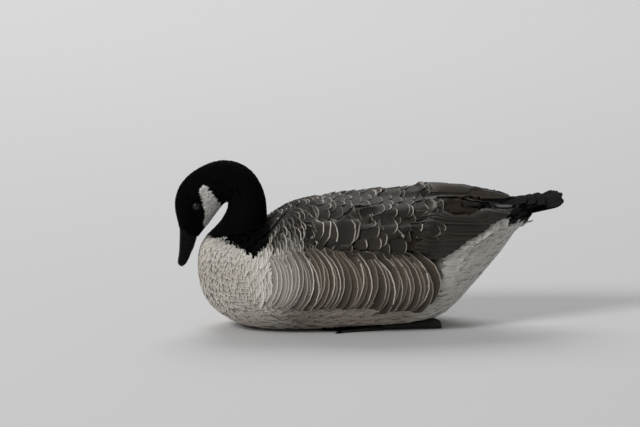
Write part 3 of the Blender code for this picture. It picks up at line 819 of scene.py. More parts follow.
def eye_frame(side):
    """The middle of an eye, its radius, and the ways backward, up and out of the head."""
    low, high = [np.array(corner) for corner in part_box("eye_left" if side < 0 else "eye_right")]
    out = np.array((-math.sin(HEAD_TURN) * side, math.cos(HEAD_TURN) * side, 0.0))
    back = np.array((math.cos(HEAD_TURN), math.sin(HEAD_TURN), 0.0))
    return (low + high) / 2, (high[2] - low[2]) / 2, back, np.array((0, 0, 1.0)), out


def lid_edge(angle):
    """How far the opening reaches from the eye's middle, at angles from the back of the head upward."""
    c, s = np.cos(angle), np.sin(angle)
    return 1 / np.sqrt((c / LID_HALF[0]) ** 2 + (s / LID_HALF[1]) ** 2) + LID_CORNER * np.maximum(-c, 0) ** 8


eye_finish, tree, shader = finish_material("eye_glass", 0.08, Coat_Weight=0.5, Coat_Roughness=0.03,
                                           Specular_IOR_Level=0.2)
gaze_gap = node(tree, "ShaderNodeAttribute", attribute_name="gaze_gap").outputs["Fac"]
iris_place = node(tree, "ShaderNodeTexCoord").outputs["Object"]
iris_grain = texture(tree, "ShaderNodeTexNoise", iris_place, 900.0).outputs["Fac"]
iris_edge = node(tree, "ShaderNodeMath", iris_grain, 0.08, gaze_gap, operation="MULTIPLY_ADD").outputs[0]
iris = node(tree, "ShaderNodeValToRGB", iris_edge)
iris_ramp = iris.color_ramp
for place, colour in IRIS_STOPS:
    stop = iris_ramp.elements.new(place)
    stop.color = (*paint(*colour), 1)
iris_ramp.elements.remove(iris_ramp.elements[0])
iris_ramp.elements.remove(iris_ramp.elements[-1])
tree.links.new(iris.outputs["Color"], shader.inputs["Base Color"])

lid_finish, tree, shader = finish_material("eyelid_skin", 0.6, Specular_IOR_Level=0.15)
lid_place = node(tree, "ShaderNodeTexCoord").outputs["Object"]
lid_cells = texture(tree, "ShaderNodeTexVoronoi", lid_place, 2200.0).outputs["Distance"]
lid_colour = between(tree, lid_cells, paint(0.07, 0.065, 0.062), paint(0.03, 0.028, 0.028))
tree.links.new(lid_colour, shader.inputs["Base Color"])
give_relief(tree, shader, lid_cells, 0.0001)

for side, label in ((-1, "left"), (1, "right")):
    centre, radius, back, up, out = eye_frame(side)
    axis = unit(out + EYE_GAZE[0] * back + EYE_GAZE[1] * up)
    across = unit(np.cross(up, axis))
    over = np.cross(axis, across)
    rings, around = np.meshgrid(np.linspace(0, np.pi, EYE_STEPS[0] + 1),
                                np.linspace(0, 2 * np.pi, EYE_STEPS[1], endpoint=False), indexing="ij")
    rings, around = rings.ravel()[:, None], around.ravel()[:, None]
    reach = radius + EYE_BULGE * np.exp(-(rings / 0.6) ** 2)
    aside = across * np.cos(around) + over * np.sin(around)
    points = centre + reach * (axis * np.cos(rings) + aside * np.sin(rings))
    solid_piece("eyeball_" + label, points, grid_faces(EYE_STEPS[0] + 1, EYE_STEPS[1]), eye_finish,
                ["eye_" + label], {"gaze_gap": np.minimum(rings.ravel() / 0.9, 1.0)})
    angles = np.linspace(0, 2 * np.pi, LID_STEPS[1], endpoint=False)
    edge = lid_edge(angles)
    rows = []
    for wall, shares in ((1.0, np.linspace(0, 1, LID_STEPS[0])), (0.0, np.linspace(1, 0, LID_STEPS[0]))):
        for share in shares:
            span = edge + (LID_REACH - edge) * share
            ball = np.sqrt(np.maximum((radius + EYE_BULGE) ** 2 - span**2, 1e-9))
            flat = LID_LEVEL - 0.0016 * share**3
            height = (ball**12 + np.full_like(ball, flat) ** 12) ** (1 / 12)
            height += wall * LID_WALL * math.sin(math.pi * min(0.15 + share, 0.5)) - (1 - wall) * 0.0001
            fold = math.sin(2 * math.pi * (3.2 * share - 0.1))
            height += wall * LID_FOLDS * fold * (1 + 0.6 * np.sin(angles))
            span = span - 0.0002 * (1 - wall) * (share < 0.01)
            rows.append(centre + back * (span * np.cos(angles))[:, None]
                        + up * (span * np.sin(angles))[:, None] + out * height[:, None])
    rows.append(rows[0])
    solid_piece("eyelid_" + label, np.concatenate(rows), grid_faces(len(rows), LID_STEPS[1]), lid_finish)


# The bill. Two mandibles of dark horn meet along a lipped cutting edge. The upper one has a nostril in a
# shallow groove on each side and a raised nail at the tip, and the feathers of the face cover the bases.
# Each row: the ridge, the cutting edge and the chin as (x, z), and the half width.
BILL_STATIONS = np.array([
    (-0.2661, 0.1390, -0.2514, 0.1312, -0.2432, 0.1268, 0.0116),
    (-0.2661, 0.1300, -0.2527, 0.1233, -0.2452, 0.1206, 0.0111),
    (-0.2664, 0.1205, -0.2546, 0.1150, -0.2476, 0.1133, 0.0104),
    (-0.2668, 0.1110, -0.2567, 0.1073, -0.2509, 0.1066, 0.0098),
    (-0.2677, 0.1025, -0.2588, 0.1000, -0.2536, 0.1000, 0.0093),
    (-0.2687, 0.0960, -0.2604, 0.0944, -0.2562, 0.0950, 0.0085),
    (-0.2680, 0.0910, -0.2618, 0.0904, -0.2582, 0.0916, 0.0066),
    (-0.2650, 0.0880, -0.2631, 0.0880, -0.2604, 0.0894, 0.0032),
])
BILL_SHIFT = (-0.0006, -0.005)         # the bill's place along the bird, and to its left
BILL_CUT = 0.00018                     # half the slit between the mandibles
BILL_FULLNESS = 2.2
BILL_STEPS = (150, 56)
BILL_ROOT = np.array((0.0010, 0.0, 0.0045))    # how far the bases reach into the head
NOSTRIL = (1.15, 0.60)                 # its station and its height between the edge and the ridge
NOSTRIL_HALF = (0.26, 0.13)
NOSTRIL_DEPTH = 0.0018
LAMELLAE = 46
BILL_FLOOR_STEPS = 6                   # the steps across the flat face along the cutting edge

horn_finish, tree, shader = finish_material("bill_horn", 0.42, Specular_IOR_Level=0.10)
horn_place = node(tree, "ShaderNodeTexCoord").outputs["Object"]
horn_along = node(tree, "ShaderNodeMapping", horn_place)
horn_along.inputs["Scale"].default_value = (1.0, 1.0, 0.22)
horn_streaks = texture(tree, "ShaderNodeTexNoise", horn_along.outputs[0], 900.0, 4.0).outputs["Fac"]
horn_stain = texture(tree, "ShaderNodeTexNoise", horn_place, 160.0).outputs["Fac"]
pale_marks = node(tree, "ShaderNodeAttribute", attribute_name="pale_marks").outputs["Fac"]
# Paler horn where each mandible marks it, in patches set by the stains.
horn_pale = node(tree, "ShaderNodeMath", pale_marks, horn_stain, operation="MULTIPLY", use_clamp=True).outputs[0]
horn_base = between(tree, horn_streaks, paint(0.015, 0.014, 0.014), paint(0.045, 0.042, 0.040))
horn_colour = between(tree, horn_pale, horn_base, paint(0.13, 0.12, 0.11))
tree.links.new(horn_colour, shader.inputs["Base Color"])
horn_rough = node(tree, "ShaderNodeMapRange", horn_stain, 0.3, 0.7, 0.34, 0.50).outputs[0]
tree.links.new(horn_rough, shader.inputs["Roughness"])
give_relief(tree, shader, horn_streaks, 0.0001)


def bump_at(value, middle, half):
    return np.exp(-((value - middle) / half) ** 2)


def mandible(name, upper, replaced):
    """One mandible: the shell of horn outside, and a flat face along the cutting edge."""
    last = len(BILL_STATIONS) - 1.0
    at = last * (1 - (1 - np.linspace(0, 1, BILL_STEPS[0])) ** 1.35)
    stations = through(BILL_STATIONS, at)
    top, edge, chin = stations[:, 0:2], stations[:, 2:4], stations[:, 4:6]
    far = top if upper else chin
    half = stations[:, 6] * (1.0 if upper else 0.86)
    run = far - edge
    start = edge + unit(run) * BILL_CUT
    angle = np.linspace(0, np.pi, BILL_STEPS[1])
    c = np.sign(np.cos(angle)) * np.abs(np.cos(angle)) ** (2 / BILL_FULLNESS)
    s = np.abs(np.sin(angle)) ** (2 / BILL_FULLNESS)
    x = start[:, 0:1] + run[:, 0:1] * s
    z = start[:, 1:2] + run[:, 1:2] * s
    y = half[:, None] * c
    grid = np.stack([x, y, z], axis=2)
    outward = unit(np.cross(np.gradient(grid, axis=0), np.gradient(grid, axis=1)))
    middle = np.stack([(start[:, 0] + far[:, 0]) / 2, 0 * half, (start[:, 1] + far[:, 1]) / 2], axis=1)
    middle = middle[:, None]
    outward *= np.sign((outward * (grid - middle)).sum(axis=2, keepdims=True))
    station, rise = at[:, None], s[None, :]
    girth = half[:, None] / half.max()
    lip = bump_at(rise, 0.0, 0.10)
    teeth = 0.5 + 0.5 * np.cos(2 * np.pi * LAMELLAE * station / last)
    raised = girth * (0.00045 * lip - 0.00030 * bump_at(rise, 0.24, 0.09)) + 0.00012 * lip * teeth
    # The horn is paler along the lip, and on the upper mandible also on the nail and the ridge.
    pale_share = 0.55 * lip + 0 * station
    if upper:
        slit = bump_at(station + 0.6 * (rise - NOSTRIL[1]), NOSTRIL[0], NOSTRIL_HALF[0])
        slit = slit * bump_at(rise, NOSTRIL[1], NOSTRIL_HALF[1])
        groove = bump_at(station, NOSTRIL[0] + 0.35, 1.0) * bump_at(rise, NOSTRIL[1], 0.24)
        rim = bump_at(station, NOSTRIL[0], 0.55) * bump_at(rise, NOSTRIL[1], 0.28) - slit
        nail = ramp(station, 5.15, 5.45) * ramp(-np.abs(c)[None, :], -0.62, -0.50)
        raised = raised - NOSTRIL_DEPTH * slit**0.7 - 0.0006 * groove
        raised = raised + 0.0003 * rim.clip(0) + 0.00055 * nail * girth
        pale_share = pale_share + 0.9 * nail + 0.25 * bump_at(rise, 1.0, 0.04)
        pale_share = pale_share * (1 - slit)
    else:
        raised = raised + 0.0003 * bump_at(rise, 1.0, 0.10)
    grid = grid + outward * raised[..., None]
    root = grid[:1] * 0.985 + middle[:1] * 0.015 + BILL_ROOT
    grid = np.concatenate([root, grid])
    pale_share = np.concatenate([pale_share[:1], pale_share])
    shares = np.linspace(0, 1, BILL_FLOOR_STEPS + 2)[1:-1]
    flat = grid[:, -1:] * (1 - shares[None, :, None]) + grid[:, :1] * shares[None, :, None]
    rows = np.concatenate([grid, flat], axis=1)
    pale_rows = np.concatenate([pale_share, np.zeros((len(grid), BILL_FLOOR_STEPS))], axis=1)
    hinge = (BILL_STATIONS[0, 0] + BILL_STATIONS[0, 4]) / 2
    along, aside = rows[..., 0] - hinge, rows[..., 1].copy()
    rows[..., 0] = BILL_SHIFT[0] + hinge + along * math.cos(HEAD_TURN) - aside * math.sin(HEAD_TURN)
    rows[..., 1] = BILL_SHIFT[1] + along * math.sin(HEAD_TURN) + aside * math.cos(HEAD_TURN)
    closed_rings(name, rows, horn_finish, [replaced],
                 {"pale_marks": np.append(pale_rows.ravel(), (0, 0))})


mandible("upper_mandible", True, "bill_upper")
mandible("lower_mandible", False, "bill_lower")


# The coat of the head and the neck: thousands of short velvety feathers, the smallest round the bill and
# the eyes. They are black but for the white cheek.
FACE_PITCH = 0.0020
NECK_PITCH = 0.0027
HEAD_PITCHES = ((0, 4, 6, 8, 9), (FACE_PITCH, FACE_PITCH * 1.1, NECK_PITCH, NECK_PITCH, NECK_PITCH * 0.85))
HEAD_LENGTHS = ((0, 3, 6, 9), (0.0034, 0.0046, 0.0070, 0.0085))
EYE_CLEAR = (0.0058, 0.0051)    # no feather reaches into this half length and half height round the eyes
EYE_TESTS = 8                   # the steps along a feather at which this is tested
HEAD_SPAN = (0.05, 12.0)        # the first and the last ring of velvet
VELVET_WIDTH = 0.52             # of a feather's length
SHORTEST = 0.0012
RING_STEPS = 200
seeded = np.random.default_rng(41)


def ring_spots(at, pitch, odd, jitter):
    """The angles of roots along one ring, a pitch apart, with some jitter."""
    angles = np.linspace(0, 2 * np.pi, RING_STEPS, endpoint=False)
    loop = on_body(np.full(RING_STEPS, at), angles)
    girth = np.concatenate([[0], np.cumsum(np.linalg.norm(np.roll(loop, -1, axis=0) - loop, axis=1))])
    count = max(6, int(girth[-1] / pitch))
    along = (np.arange(count) + 0.5 * odd + seeded.uniform(-jitter, jitter, count)) / count * girth[-1]
    return np.interp(along % girth[-1], girth, np.append(angles, 2 * np.pi))


def ring_gap(at, around):
    """How far the coat runs from one ring of the grid to the next, at each angle."""
    places = np.full(len(around), at)
    return np.linalg.norm(on_body(places + ALONG_STEP, around) - on_body(places, around), axis=1)


def ring_roots(start, end, pitch_at, jitter=0.25):
    """Roots in rings from start to end. The pitch between them comes from a function of the ring."""
    found = []
    at, odd = start, 0
    while at < end:
        pitch = pitch_at(at)
        around = ring_spots(at, pitch, odd, jitter)
        middle_step = ring_gap(at, np.array([1.5]))[0]
        ring_step = ALONG_STEP * pitch / max(middle_step, 1e-4)
        widest = ring_gap(at, around)
        keep = seeded.random(len(around)) < np.clip(widest / max(widest.max(), 1e-6) * 1.15, 0.08, 1.0)
        places = np.clip(at + ring_step * seeded.uniform(-jitter, jitter, len(around)), 0, LAST_RING)
        found.append(np.stack([places[keep], around[keep]], axis=1))
        at += ring_step * (0.5 + 0.5 * np.median(middle_step / np.maximum(widest, 1e-5)).clip(0.4, 1.0))
        odd = 1 - odd
    return np.concatenate(found)


velvet_vane = vane_mesh("velvet_vane", 2, 2, 0.45, 2.2)
velvet = plumage("velvet_plumage", 0.85, gloss=0.12, Tip_Width=0.0001, Side_Width=0.0001, Shade_Variation=0.5,
                 Barb_Depth=0.3)
head_rings = ring_roots(*HEAD_SPAN, lambda at: float(np.interp(at, *HEAD_PITCHES)))
head_roots = on_body(head_rings[:, 0], head_rings[:, 1])
black = neck_black(head_roots, head_rings[:, 0])
head_rings, head_roots = head_rings[black], head_roots[black]
head_lie = flow(head_rings[:, 0], head_rings[:, 1])
head_tint = markings(head_roots + head_lie * 0.003, head_rings[:, 0], head_rings[:, 1])
head_long = np.interp(head_rings[:, 0], *HEAD_LENGTHS) * seeded.uniform(0.85, 1.15, len(head_roots))
for side in (-1, 1):
    centre, radius, back, up, out = eye_frame(side)
    near = (head_roots - centre) @ out > 0
    for share in np.linspace(0, 1, EYE_TESTS + 1):
        spots = head_roots + head_lie * (head_long * share)[:, None] - centre
        open_eye = (spots @ back / EYE_CLEAR[0]) ** 2 + (spots @ up / EYE_CLEAR[1]) ** 2 < 1
        shorter = np.maximum(head_long * (share - 1 / EYE_TESTS), 0)
        head_long = np.where(near & open_eye, shorter, head_long)
kept = head_long > SHORTEST
head_roots, head_lie, head_long, head_tint = [
    part[kept] for part in (head_roots, head_lie, head_long, head_tint)]
lay_feathers("head_plumage", velvet_vane, velvet, "plumage_dark", head_roots, head_lie, head_long,
             head_long * VELVET_WIDTH, head_tint, head_tint,
             rise=seeded.uniform(-0.0001, 0.0003, len(head_roots)), root_depth=0.0011, tip_lift=0.0003,
             lean=0.0001, camber=0.0002, thickness=0.0002)


# The small feathers of the breast, the belly, the vent and the rump grow in rings from the neck's base
# backward. Those of the shoulders stand in upright columns, broad and blunt, so that their frayed pale tips
# show as upright lines: bright on bright by the breast, and pale over dark higher up.
PALE_TIP = paint(0.90, 0.865, 0.815)
BREAST_SPAN = (8.9, 11.6)       # the first and the last ring
BELLY_SPAN = (11.2, 15.9)
BELLY_ROW = 0.0066
BELLY_PITCH = 0.0070
BELLY_SIZE = (0.026, 0.0095)    # the length and the width of its feathers
BELLY_TOP = ((-0.08, 0.080, 0.090, 0.19), (0.045, 0.045, 0.110, 0.158))    # x, and how high they reach


def ring_rows(start, end, step_at, width_at, keep_at, jitter):
    """Rows of roots, one ring after another. The step and the width come from functions of the ring."""
    found = []
    at, odd = start, 0
    while at < end:
        around = ring_spots(at, width_at(at), odd, jitter)
        ring_step = ALONG_STEP * step_at(at) / max(ring_gap(at, np.array([1.6]))[0], 1e-4)
        places = np.clip(at + ring_step * seeded.uniform(-2 * jitter, 2 * jitter, len(around)), 0, LAST_RING)
        keep = keep_at(on_body(places, around), places, around)
        found.append(np.stack([places[keep], around[keep]], axis=1))
        at += ring_step
        odd = 1 - odd
    return np.concatenate(found)


def by_ring(*values):
    """A function of the ring, through values at the neck's base and at the next rings."""
    return lambda at: np.interp(at, NECK_RING + np.arange(len(values)), values)


def small_feathers(name, vane, finish, slot, rings, long, wide, tip_share, wobble=0.08, ruffle=0.0002, **lay):
    """Lays ring feathers. Each takes the colour of the place where its tip shows."""
    at, around = rings.T
    roots, lie = on_body(at, around), flow(at, around)
    aside = unit(np.cross(surface_normals(roots), lie))
    lie = unit(lie + aside * seeded.normal(0, wobble, len(roots))[:, None])
    long = long(at) * seeded.uniform(0.88, 1.12, len(roots))
    wide = wide(at) * seeded.uniform(0.85, 1.15, len(roots))
    tips = roots + lie * long[:, None] * 0.75
    shows = ~neck_black(tips, at)
    roots, lie, long, wide, tips, at, around = [
        part[shows] for part in (roots, lie, long, wide, tips, at, around)]
    tint = markings(tips, at, around)
    share = tip_share(tips, at, around) * seeded.uniform(0.45, 1.0, len(roots))
    return lay_feathers(name, vane, finish, slot, roots, lie, long, wide, tint, blend(tint, PALE_TIP, share),
                        rise=np.abs(seeded.normal(0, 1, len(roots))) * ruffle,
                        lean=seeded.normal(0, 0.4, len(roots)) * ruffle, **lay)


soft_vane = vane_mesh("soft_vane", 4, 6, 0.34, 2.0, fray=0.14)
breast_finish = plumage("breast_plumage", 0.85, sheen=0.15, gloss=0.15, Tip_Width=0.0034, Side_Width=0.0002,
                        Shade_Variation=0.12, Base_Shade=0.88, Base_Reach=0.007, Barb_Depth=0.15)


def breast_part(points, at, around):
    x, z = points[:, 0], points[:, 2]
    return (z < 0.140) & (x < np.interp(z, (0.100, 0.116), (-0.125, -0.168)))


breast_rings = ring_rows(*BREAST_SPAN, by_ring(0.0030, 0.0036, 0.0044, 0.0054),
                         by_ring(0.0042, 0.0052, 0.0066, 0.008), breast_part, 0.35)
small_feathers("breast_plumage", soft_vane, breast_finish, "plumage_brown", breast_rings,
               by_ring(0.013, 0.016, 0.020, 0.024), by_ring(0.0070, 0.0084, 0.0100, 0.0120),
               lambda points, at, around: np.full(len(points), 0.75), wobble=0.12,
               ruffle=0.00016, root_depth=0.0028, tip_lift=0.0004, camber=0.0002, thickness=0.00018,
               patch=(0.010, 0.010))

belly_vane = vane_mesh("belly_vane", 3, 4, 0.34, 2.2, fray=0.20)
belly_finish = plumage("belly_plumage", 0.88, sheen=0.15, gloss=0.15, Tip_Width=0.0022, Side_Width=0.0002,
                       Shade_Variation=0.16, Base_Shade=0.93, Base_Reach=0.010, Barb_Depth=0.16)


def belly_part(points, at, around):
    low = points[:, 2] < np.interp(points[:, 0], *BELLY_TOP)
    return low | ((points[:, 0] > 0.13) & (np.cos(around) > 0.2))


belly_rings = ring_rows(*BELLY_SPAN, lambda at: BELLY_ROW, lambda at: BELLY_PITCH, belly_part, 0.3)
small_feathers("belly_plumage", belly_vane, belly_finish, "plumage_brown", belly_rings,
               lambda at: np.full(len(at), BELLY_SIZE[0]), lambda at: np.full(len(at), BELLY_SIZE[1]),
               lambda points, at, around: 0.25 * ramp(-points[:, 0], -0.05, 0.05), wobble=0.12,
               ruffle=0.00012, root_depth=0.0026, tip_lift=0.0004, camber=0.0002, thickness=0.00022)

shoulder_vane = vane_mesh("shoulder_vane", 8, 10, 0.16, 2.4, fray=0.03)
shoulder_finish = plumage("shoulder_plumage", 0.78, relief=0.00012, sheen=0.05, gloss=0.2, Tip_Width=0.0017,
                          Side_Width=0.0001, Shade_Variation=0.4, Base_Shade=0.42, Base_Reach=0.008,
                          Barb_Depth=0.4, Edge_Fade=0.7)
SHOULDER_BROWN = paint(0.17, 0.152, 0.134)
SHOULDER_PITCH = 0.0040
SHOULDER_ROW = 0.0165
SHOULDER_SPAN = (-0.184, -0.084)       # from the breast to the first tall feathers of the flank and the wing
SHOULDER_FOOT = 0.056
SHOULDER_TOP = ((-0.184, -0.166, -0.150, -0.133, -0.110, -0.080), (0.112, 0.142, 0.164, 0.185, 0.194, 0.199))
SHOULDER_LIE = ((-0.178, -0.160, -0.140, -0.110, -0.090), np.radians((-30, -22, -8, 6, 10)))
SIGHT = Vector((0.1204, 0.9803, -0.1564))   # the way into the bird's left side along which places are given


def on_side(x, height, side, way=SIGHT):
    """The places on the coat at these x and heights, which are told on an upright plane 0.1 m out to the
    bird's left (side -1) or right (1), and carried in along the sight's way."""
    points = []
    way = Vector((way.x, -side * way.y, way.z))
    for place, level in zip(np.atleast_1d(x), np.broadcast_to(height, np.atleast_1d(x).shape)):
        start = Vector((place, side * 0.1, level))
        for drop in np.arange(0.0, 0.03, 0.001):
            hit = coat_tree.ray_cast(start - way * 0.3 - Vector((0, 0, drop)), way, 0.55)
            if hit[0] is not None:
                break
        points.append(tuple(hit[0]) if hit[0] is not None else tuple(start))
    return np.array(points)


def varied(colour, count, low, high):
    """The colour of each feather, a little darker or lighter from one to the next."""
    return np.tile(colour, (count, 1)) * seeded.uniform(low, high, (count, 1))


def set_back(tips, lie, long):
    """The roots of feathers whose tips are known."""
    guesses = tips - lie * np.asarray(long)[..., None]
    return np.array([tuple(coat_tree.find_nearest(Vector(g))[0]) for g in guesses])


def along_side(tips, rise):
    """The way backward along the coat and up by an angle, at each place."""
    out = surface_normals(tips)
    backward = unit(np.array((1.0, 0, 0)) - out * out[:, 0:1])
    upward = unit(np.array((0, 0, 1.0)) - out * out[:, 2:3])
    upward = unit(upward - backward * (upward * backward).sum(axis=1, keepdims=True))
    return unit(backward * np.cos(rise)[:, None] + upward * np.sin(rise)[:, None])


def tract(parts):
    """Joins the arrays of several rows of feathers."""
    return [np.concatenate([np.asarray(part[i]) for part in parts]) for i in range(len(parts[0]))]


shoulder_parts = []
for side in (-1, 1):
    for column, place in enumerate(np.arange(*SHOULDER_SPAN, SHOULDER_PITCH)):
        first = SHOULDER_FOOT + SHOULDER_ROW * (column % 3) / 3
        heights = np.arange(first, np.interp(place, *SHOULDER_TOP), SHOULDER_ROW)
        count = len(heights)
        heights = heights + seeded.normal(0, 0.0015, count)
        x = place + seeded.normal(0, 0.0007, count)
        tips = on_side(x, heights, side)
        shows = ~neck_black(tips - (0.004, 0, 0), np.full(count, 10.0))
        rise = np.interp(x, *SHOULDER_LIE) * ramp(heights, 0.070, 0.105)
        lie = along_side(tips, rise + seeded.normal(0, 0.03, count))
        clear = np.clip(tips[:, 0] - np.interp(tips[:, 2], NECK_EDGE_Z[4:], NECK_EDGE_X[4:]), 0, 0.1)
        long = np.interp(clear, (0.0, 0.012, 0.040), (0.013, 0.020, 0.032))
        long = long * seeded.uniform(0.92, 1.08, count)
        pale = ramp(-heights, -0.127, -0.108) * ramp(-x, 0.096, 0.150)
        pale = np.maximum(pale, 0.25 * ramp(-heights, -0.146, -0.132) * bump_at(x, -0.118, 0.014))
        wide = seeded.uniform(0.023, 0.034, count) * np.interp(clear, (0.0, 0.020), (0.6, 1.0))
        level = np.interp(clear, (0.0, 0.015), (-0.0009, 0.0))
        part = (set_back(tips, lie, long), lie, long, wide, pale, level)
        shoulder_parts.append([values[shows] for values in part])
roots, lie, long, wide, pale, level = tract(shoulder_parts)
brown = blend(np.tile(SHOULDER_BROWN, (len(roots), 1)), BREAST_PALE * 0.85, pale)
brown = brown * seeded.uniform(0.75, 1.15, (len(roots), 1))
strength = 0.8 * np.maximum(seeded.uniform(0.1, 1.0, len(roots)) ** 1.5, pale)
lay_feathers("shoulder_plumage", shoulder_vane, shoulder_finish, "plumage_brown", roots, lie, long, wide,
             brown, blend(brown * 1.6, PALE_TIP, strength), rise=seeded.uniform(0.0, 0.0007, len(roots)),
             level=level, root_depth=0.0036, tip_lift=0.0008, lean=seeded.normal(0, 0.0002, len(roots)),
             camber=0.0004, thickness=0.0003, shaft=0.0001, patch=(0.03, 0.05), spread=True)


# The flanks. Tall brown feathers with pale tips stand close behind one another along each side. They point
# backward and up, over the lower edge of the folded wing, and each lies over the one behind it. Two rows of
# smaller ones carry on below them to the belly.
flank_vane = vane_mesh("flank_vane", 12, 16, 0.34, 2.0, fray=0.016)
flank_finish = plumage("flank_plumage", 0.75, relief=0.00012, sheen=0.08, gloss=0.25, Tip_Width=0.0021,
                       Side_Width=0.0002, Shade_Variation=0.3, Base_Shade=0.45, Base_Reach=0.012,
                       Barb_Depth=0.6, Barb_Size=0.0012, Edge_Fade=0.55)
FLANK_TIPS = (-0.142, -0.136, -0.130, -0.1215, -0.1116, -0.106, -0.1003, -0.0919, -0.0848, -0.0763,
              -0.0636, -0.0552, -0.0495, -0.0312, -0.0227, -0.0115, 0.0069, 0.0196, 0.0295, 0.0407,
              0.0548, 0.0675, 0.0816)
FLANK_HEIGHT = 0.0800
FAINT_GAP = 0.0075              # wider gaps between the bright tips hold a fainter one
LOWER_ROWS = ((0.052, 0.038, 0.0120), (0.033, 0.036, 0.0120))      # height, width, pitch
LOWER_LEVEL = -0.0022


flank_parts = []
for side in (-1, 1):
    main = np.array(FLANK_TIPS) + (seeded.normal(0, 0.0020, len(FLANK_TIPS)) if side > 0 else 0.0)
    gaps = np.diff(main) > FAINT_GAP
    faint = main[:-1][gaps] + np.diff(main)[gaps] * seeded.uniform(0.35, 0.65, gaps.sum())
    tips_x = np.concatenate([main, faint])
    order = np.argsort(tips_x)
    bright = np.concatenate([seeded.uniform(0.35, 1.0, len(main)),
                             seeded.uniform(0.08, 0.35, len(faint))])[order]
    tips_x = tips_x[order]
    count = len(tips_x)
    tips = on_side(tips_x + 0.0015, FLANK_HEIGHT + seeded.normal(0, 0.003, count), side)
    rise = np.interp(tips_x, (-0.13, -0.05, 0.08), np.radians((-1, 6, 16))) + seeded.normal(0, 0.045, count)
    long = np.interp(tips_x, (-0.14, -0.08, 0.08), (0.034, 0.050, 0.060)) * seeded.uniform(0.94, 1.06, count)
    wide = np.interp(tips_x, (-0.14, -0.10, 0.05, 0.082), (0.070, 0.084, 0.092, 0.080))
    lie = along_side(tips, rise)
    flank_parts.append((set_back(tips, lie, long), lie, long, wide, np.full(count, 0.0012), bright,
                        ramp(-tips_x, 0.075, 0.140)))
    for height, width, pitch in LOWER_ROWS:
        tips_x = np.arange(-0.135, 0.088, pitch)
        count = len(tips_x)
        x = tips_x + seeded.normal(0, 0.0018, count)
        tips = on_side(x, height + seeded.normal(0, 0.002, count), side)
        rise = np.interp(tips_x, (-0.13, 0.08), np.radians((0, 16))) + seeded.normal(0, 0.05, count)
        lie = along_side(tips, rise)
        long = 0.046 * seeded.uniform(0.92, 1.08, count)
        flank_parts.append((set_back(tips, lie, long), lie, long, np.full(count, width),
                            np.full(count, LOWER_LEVEL), seeded.uniform(0.10, 0.5, count),
                            0.35 + 0.5 * ramp(-tips_x, 0.05, 0.14)))
roots, lie, long, wide, level, strength, pale = tract(flank_parts)
flank_tint = blend(np.tile(FLANK_BROWN, (len(roots), 1)), BREAST_PALE * 0.8, 0.40 * pale)
flank_tint = flank_tint * seeded.uniform(0.80, 1.2, (len(roots), 1))
lay_feathers("flank_plumage", flank_vane, flank_finish, "plumage_brown", roots, lie, long, wide, flank_tint,
             blend(flank_tint * 1.3, PALE_TIP, strength), rise=seeded.uniform(0, 0.0005, len(roots)),
             level=level, root_depth=0.0045, tip_lift=0.0010, lean=0.0, camber=0.0003, thickness=0.0003,
             patch=(0.045, 0.13), spread=True)


# The folded wings. From the shoulder back: the tall rounded shoulder feathers, coverts with pale tips, then
# the long tertials, secondaries and black primaries, stacked from the back down to the wing's edge.
wing_finish = plumage("wing_plumage", 0.65, relief=0.00010, sheen=0.03, gloss=0.25, Tip_Width=0.0019,
                      Side_Width=0.0001, Shade_Variation=0.25, Base_Shade=0.60, Base_Reach=0.018,
                      Barb_Depth=0.32, Barb_Size=0.0009, Edge_Fade=0.92)
quill_finish = plumage("quill_plumage", 0.55, relief=0.00010, gloss=0.3, Tip_Width=0.0010, Side_Width=0.0008,
                       Shade_Variation=0.25, Barb_Depth=0.35, Barb_Size=0.0010)
black_finish = plumage("black_plumage", 0.78, relief=0.00012, gloss=0.07, Tip_Width=0.0008, Side_Width=0.0006,
                       Shade_Variation=0.3, Barb_Depth=0.4, Barb_Size=0.0010)
WING_BROWN = paint(0.225, 0.203, 0.18)
QUILL_BROWN = paint(0.215, 0.195, 0.175)
QUILL_BLACK = paint(0.045, 0.042, 0.040)

# Each feather: the x and height of its tip, its width, its length, its rise in degrees, how much it lies over
# the others, and how pale its tip is.
SHOULDER_TILES = (
    (-0.0037, 0.1554, 0.050, 0.062, -4, 0.0004, 0.55),
    (-0.0298, 0.1517, 0.048, 0.060, -4, 0.0005, 0.60),
    (-0.0425, 0.1476, 0.046, 0.058, -3, 0.0006, 0.75),
    (-0.0566, 0.1451, 0.044, 0.056, -2, 0.0007, 1.00),
    (-0.0665, 0.1538, 0.046, 0.056, -2, 0.0008, 1.00),
    (-0.0763, 0.1568, 0.048, 0.056, 0, 0.0009, 1.10),
    (-0.0665, 0.1821, 0.018, 0.034, 0, 0.0010, 0.90),
    (-0.0467, 0.1853, 0.016, 0.036, 0, 0.0009, 0.80),
    (-0.0375, 0.1823, 0.016, 0.030, -6, 0.0010, 1.00),
    (-0.0227, 0.1827, 0.018, 0.034, 0, 0.0006, 0.50),
    (-0.0778, 0.1873, 0.015, 0.026, 2, 0.0010, 0.80),
)
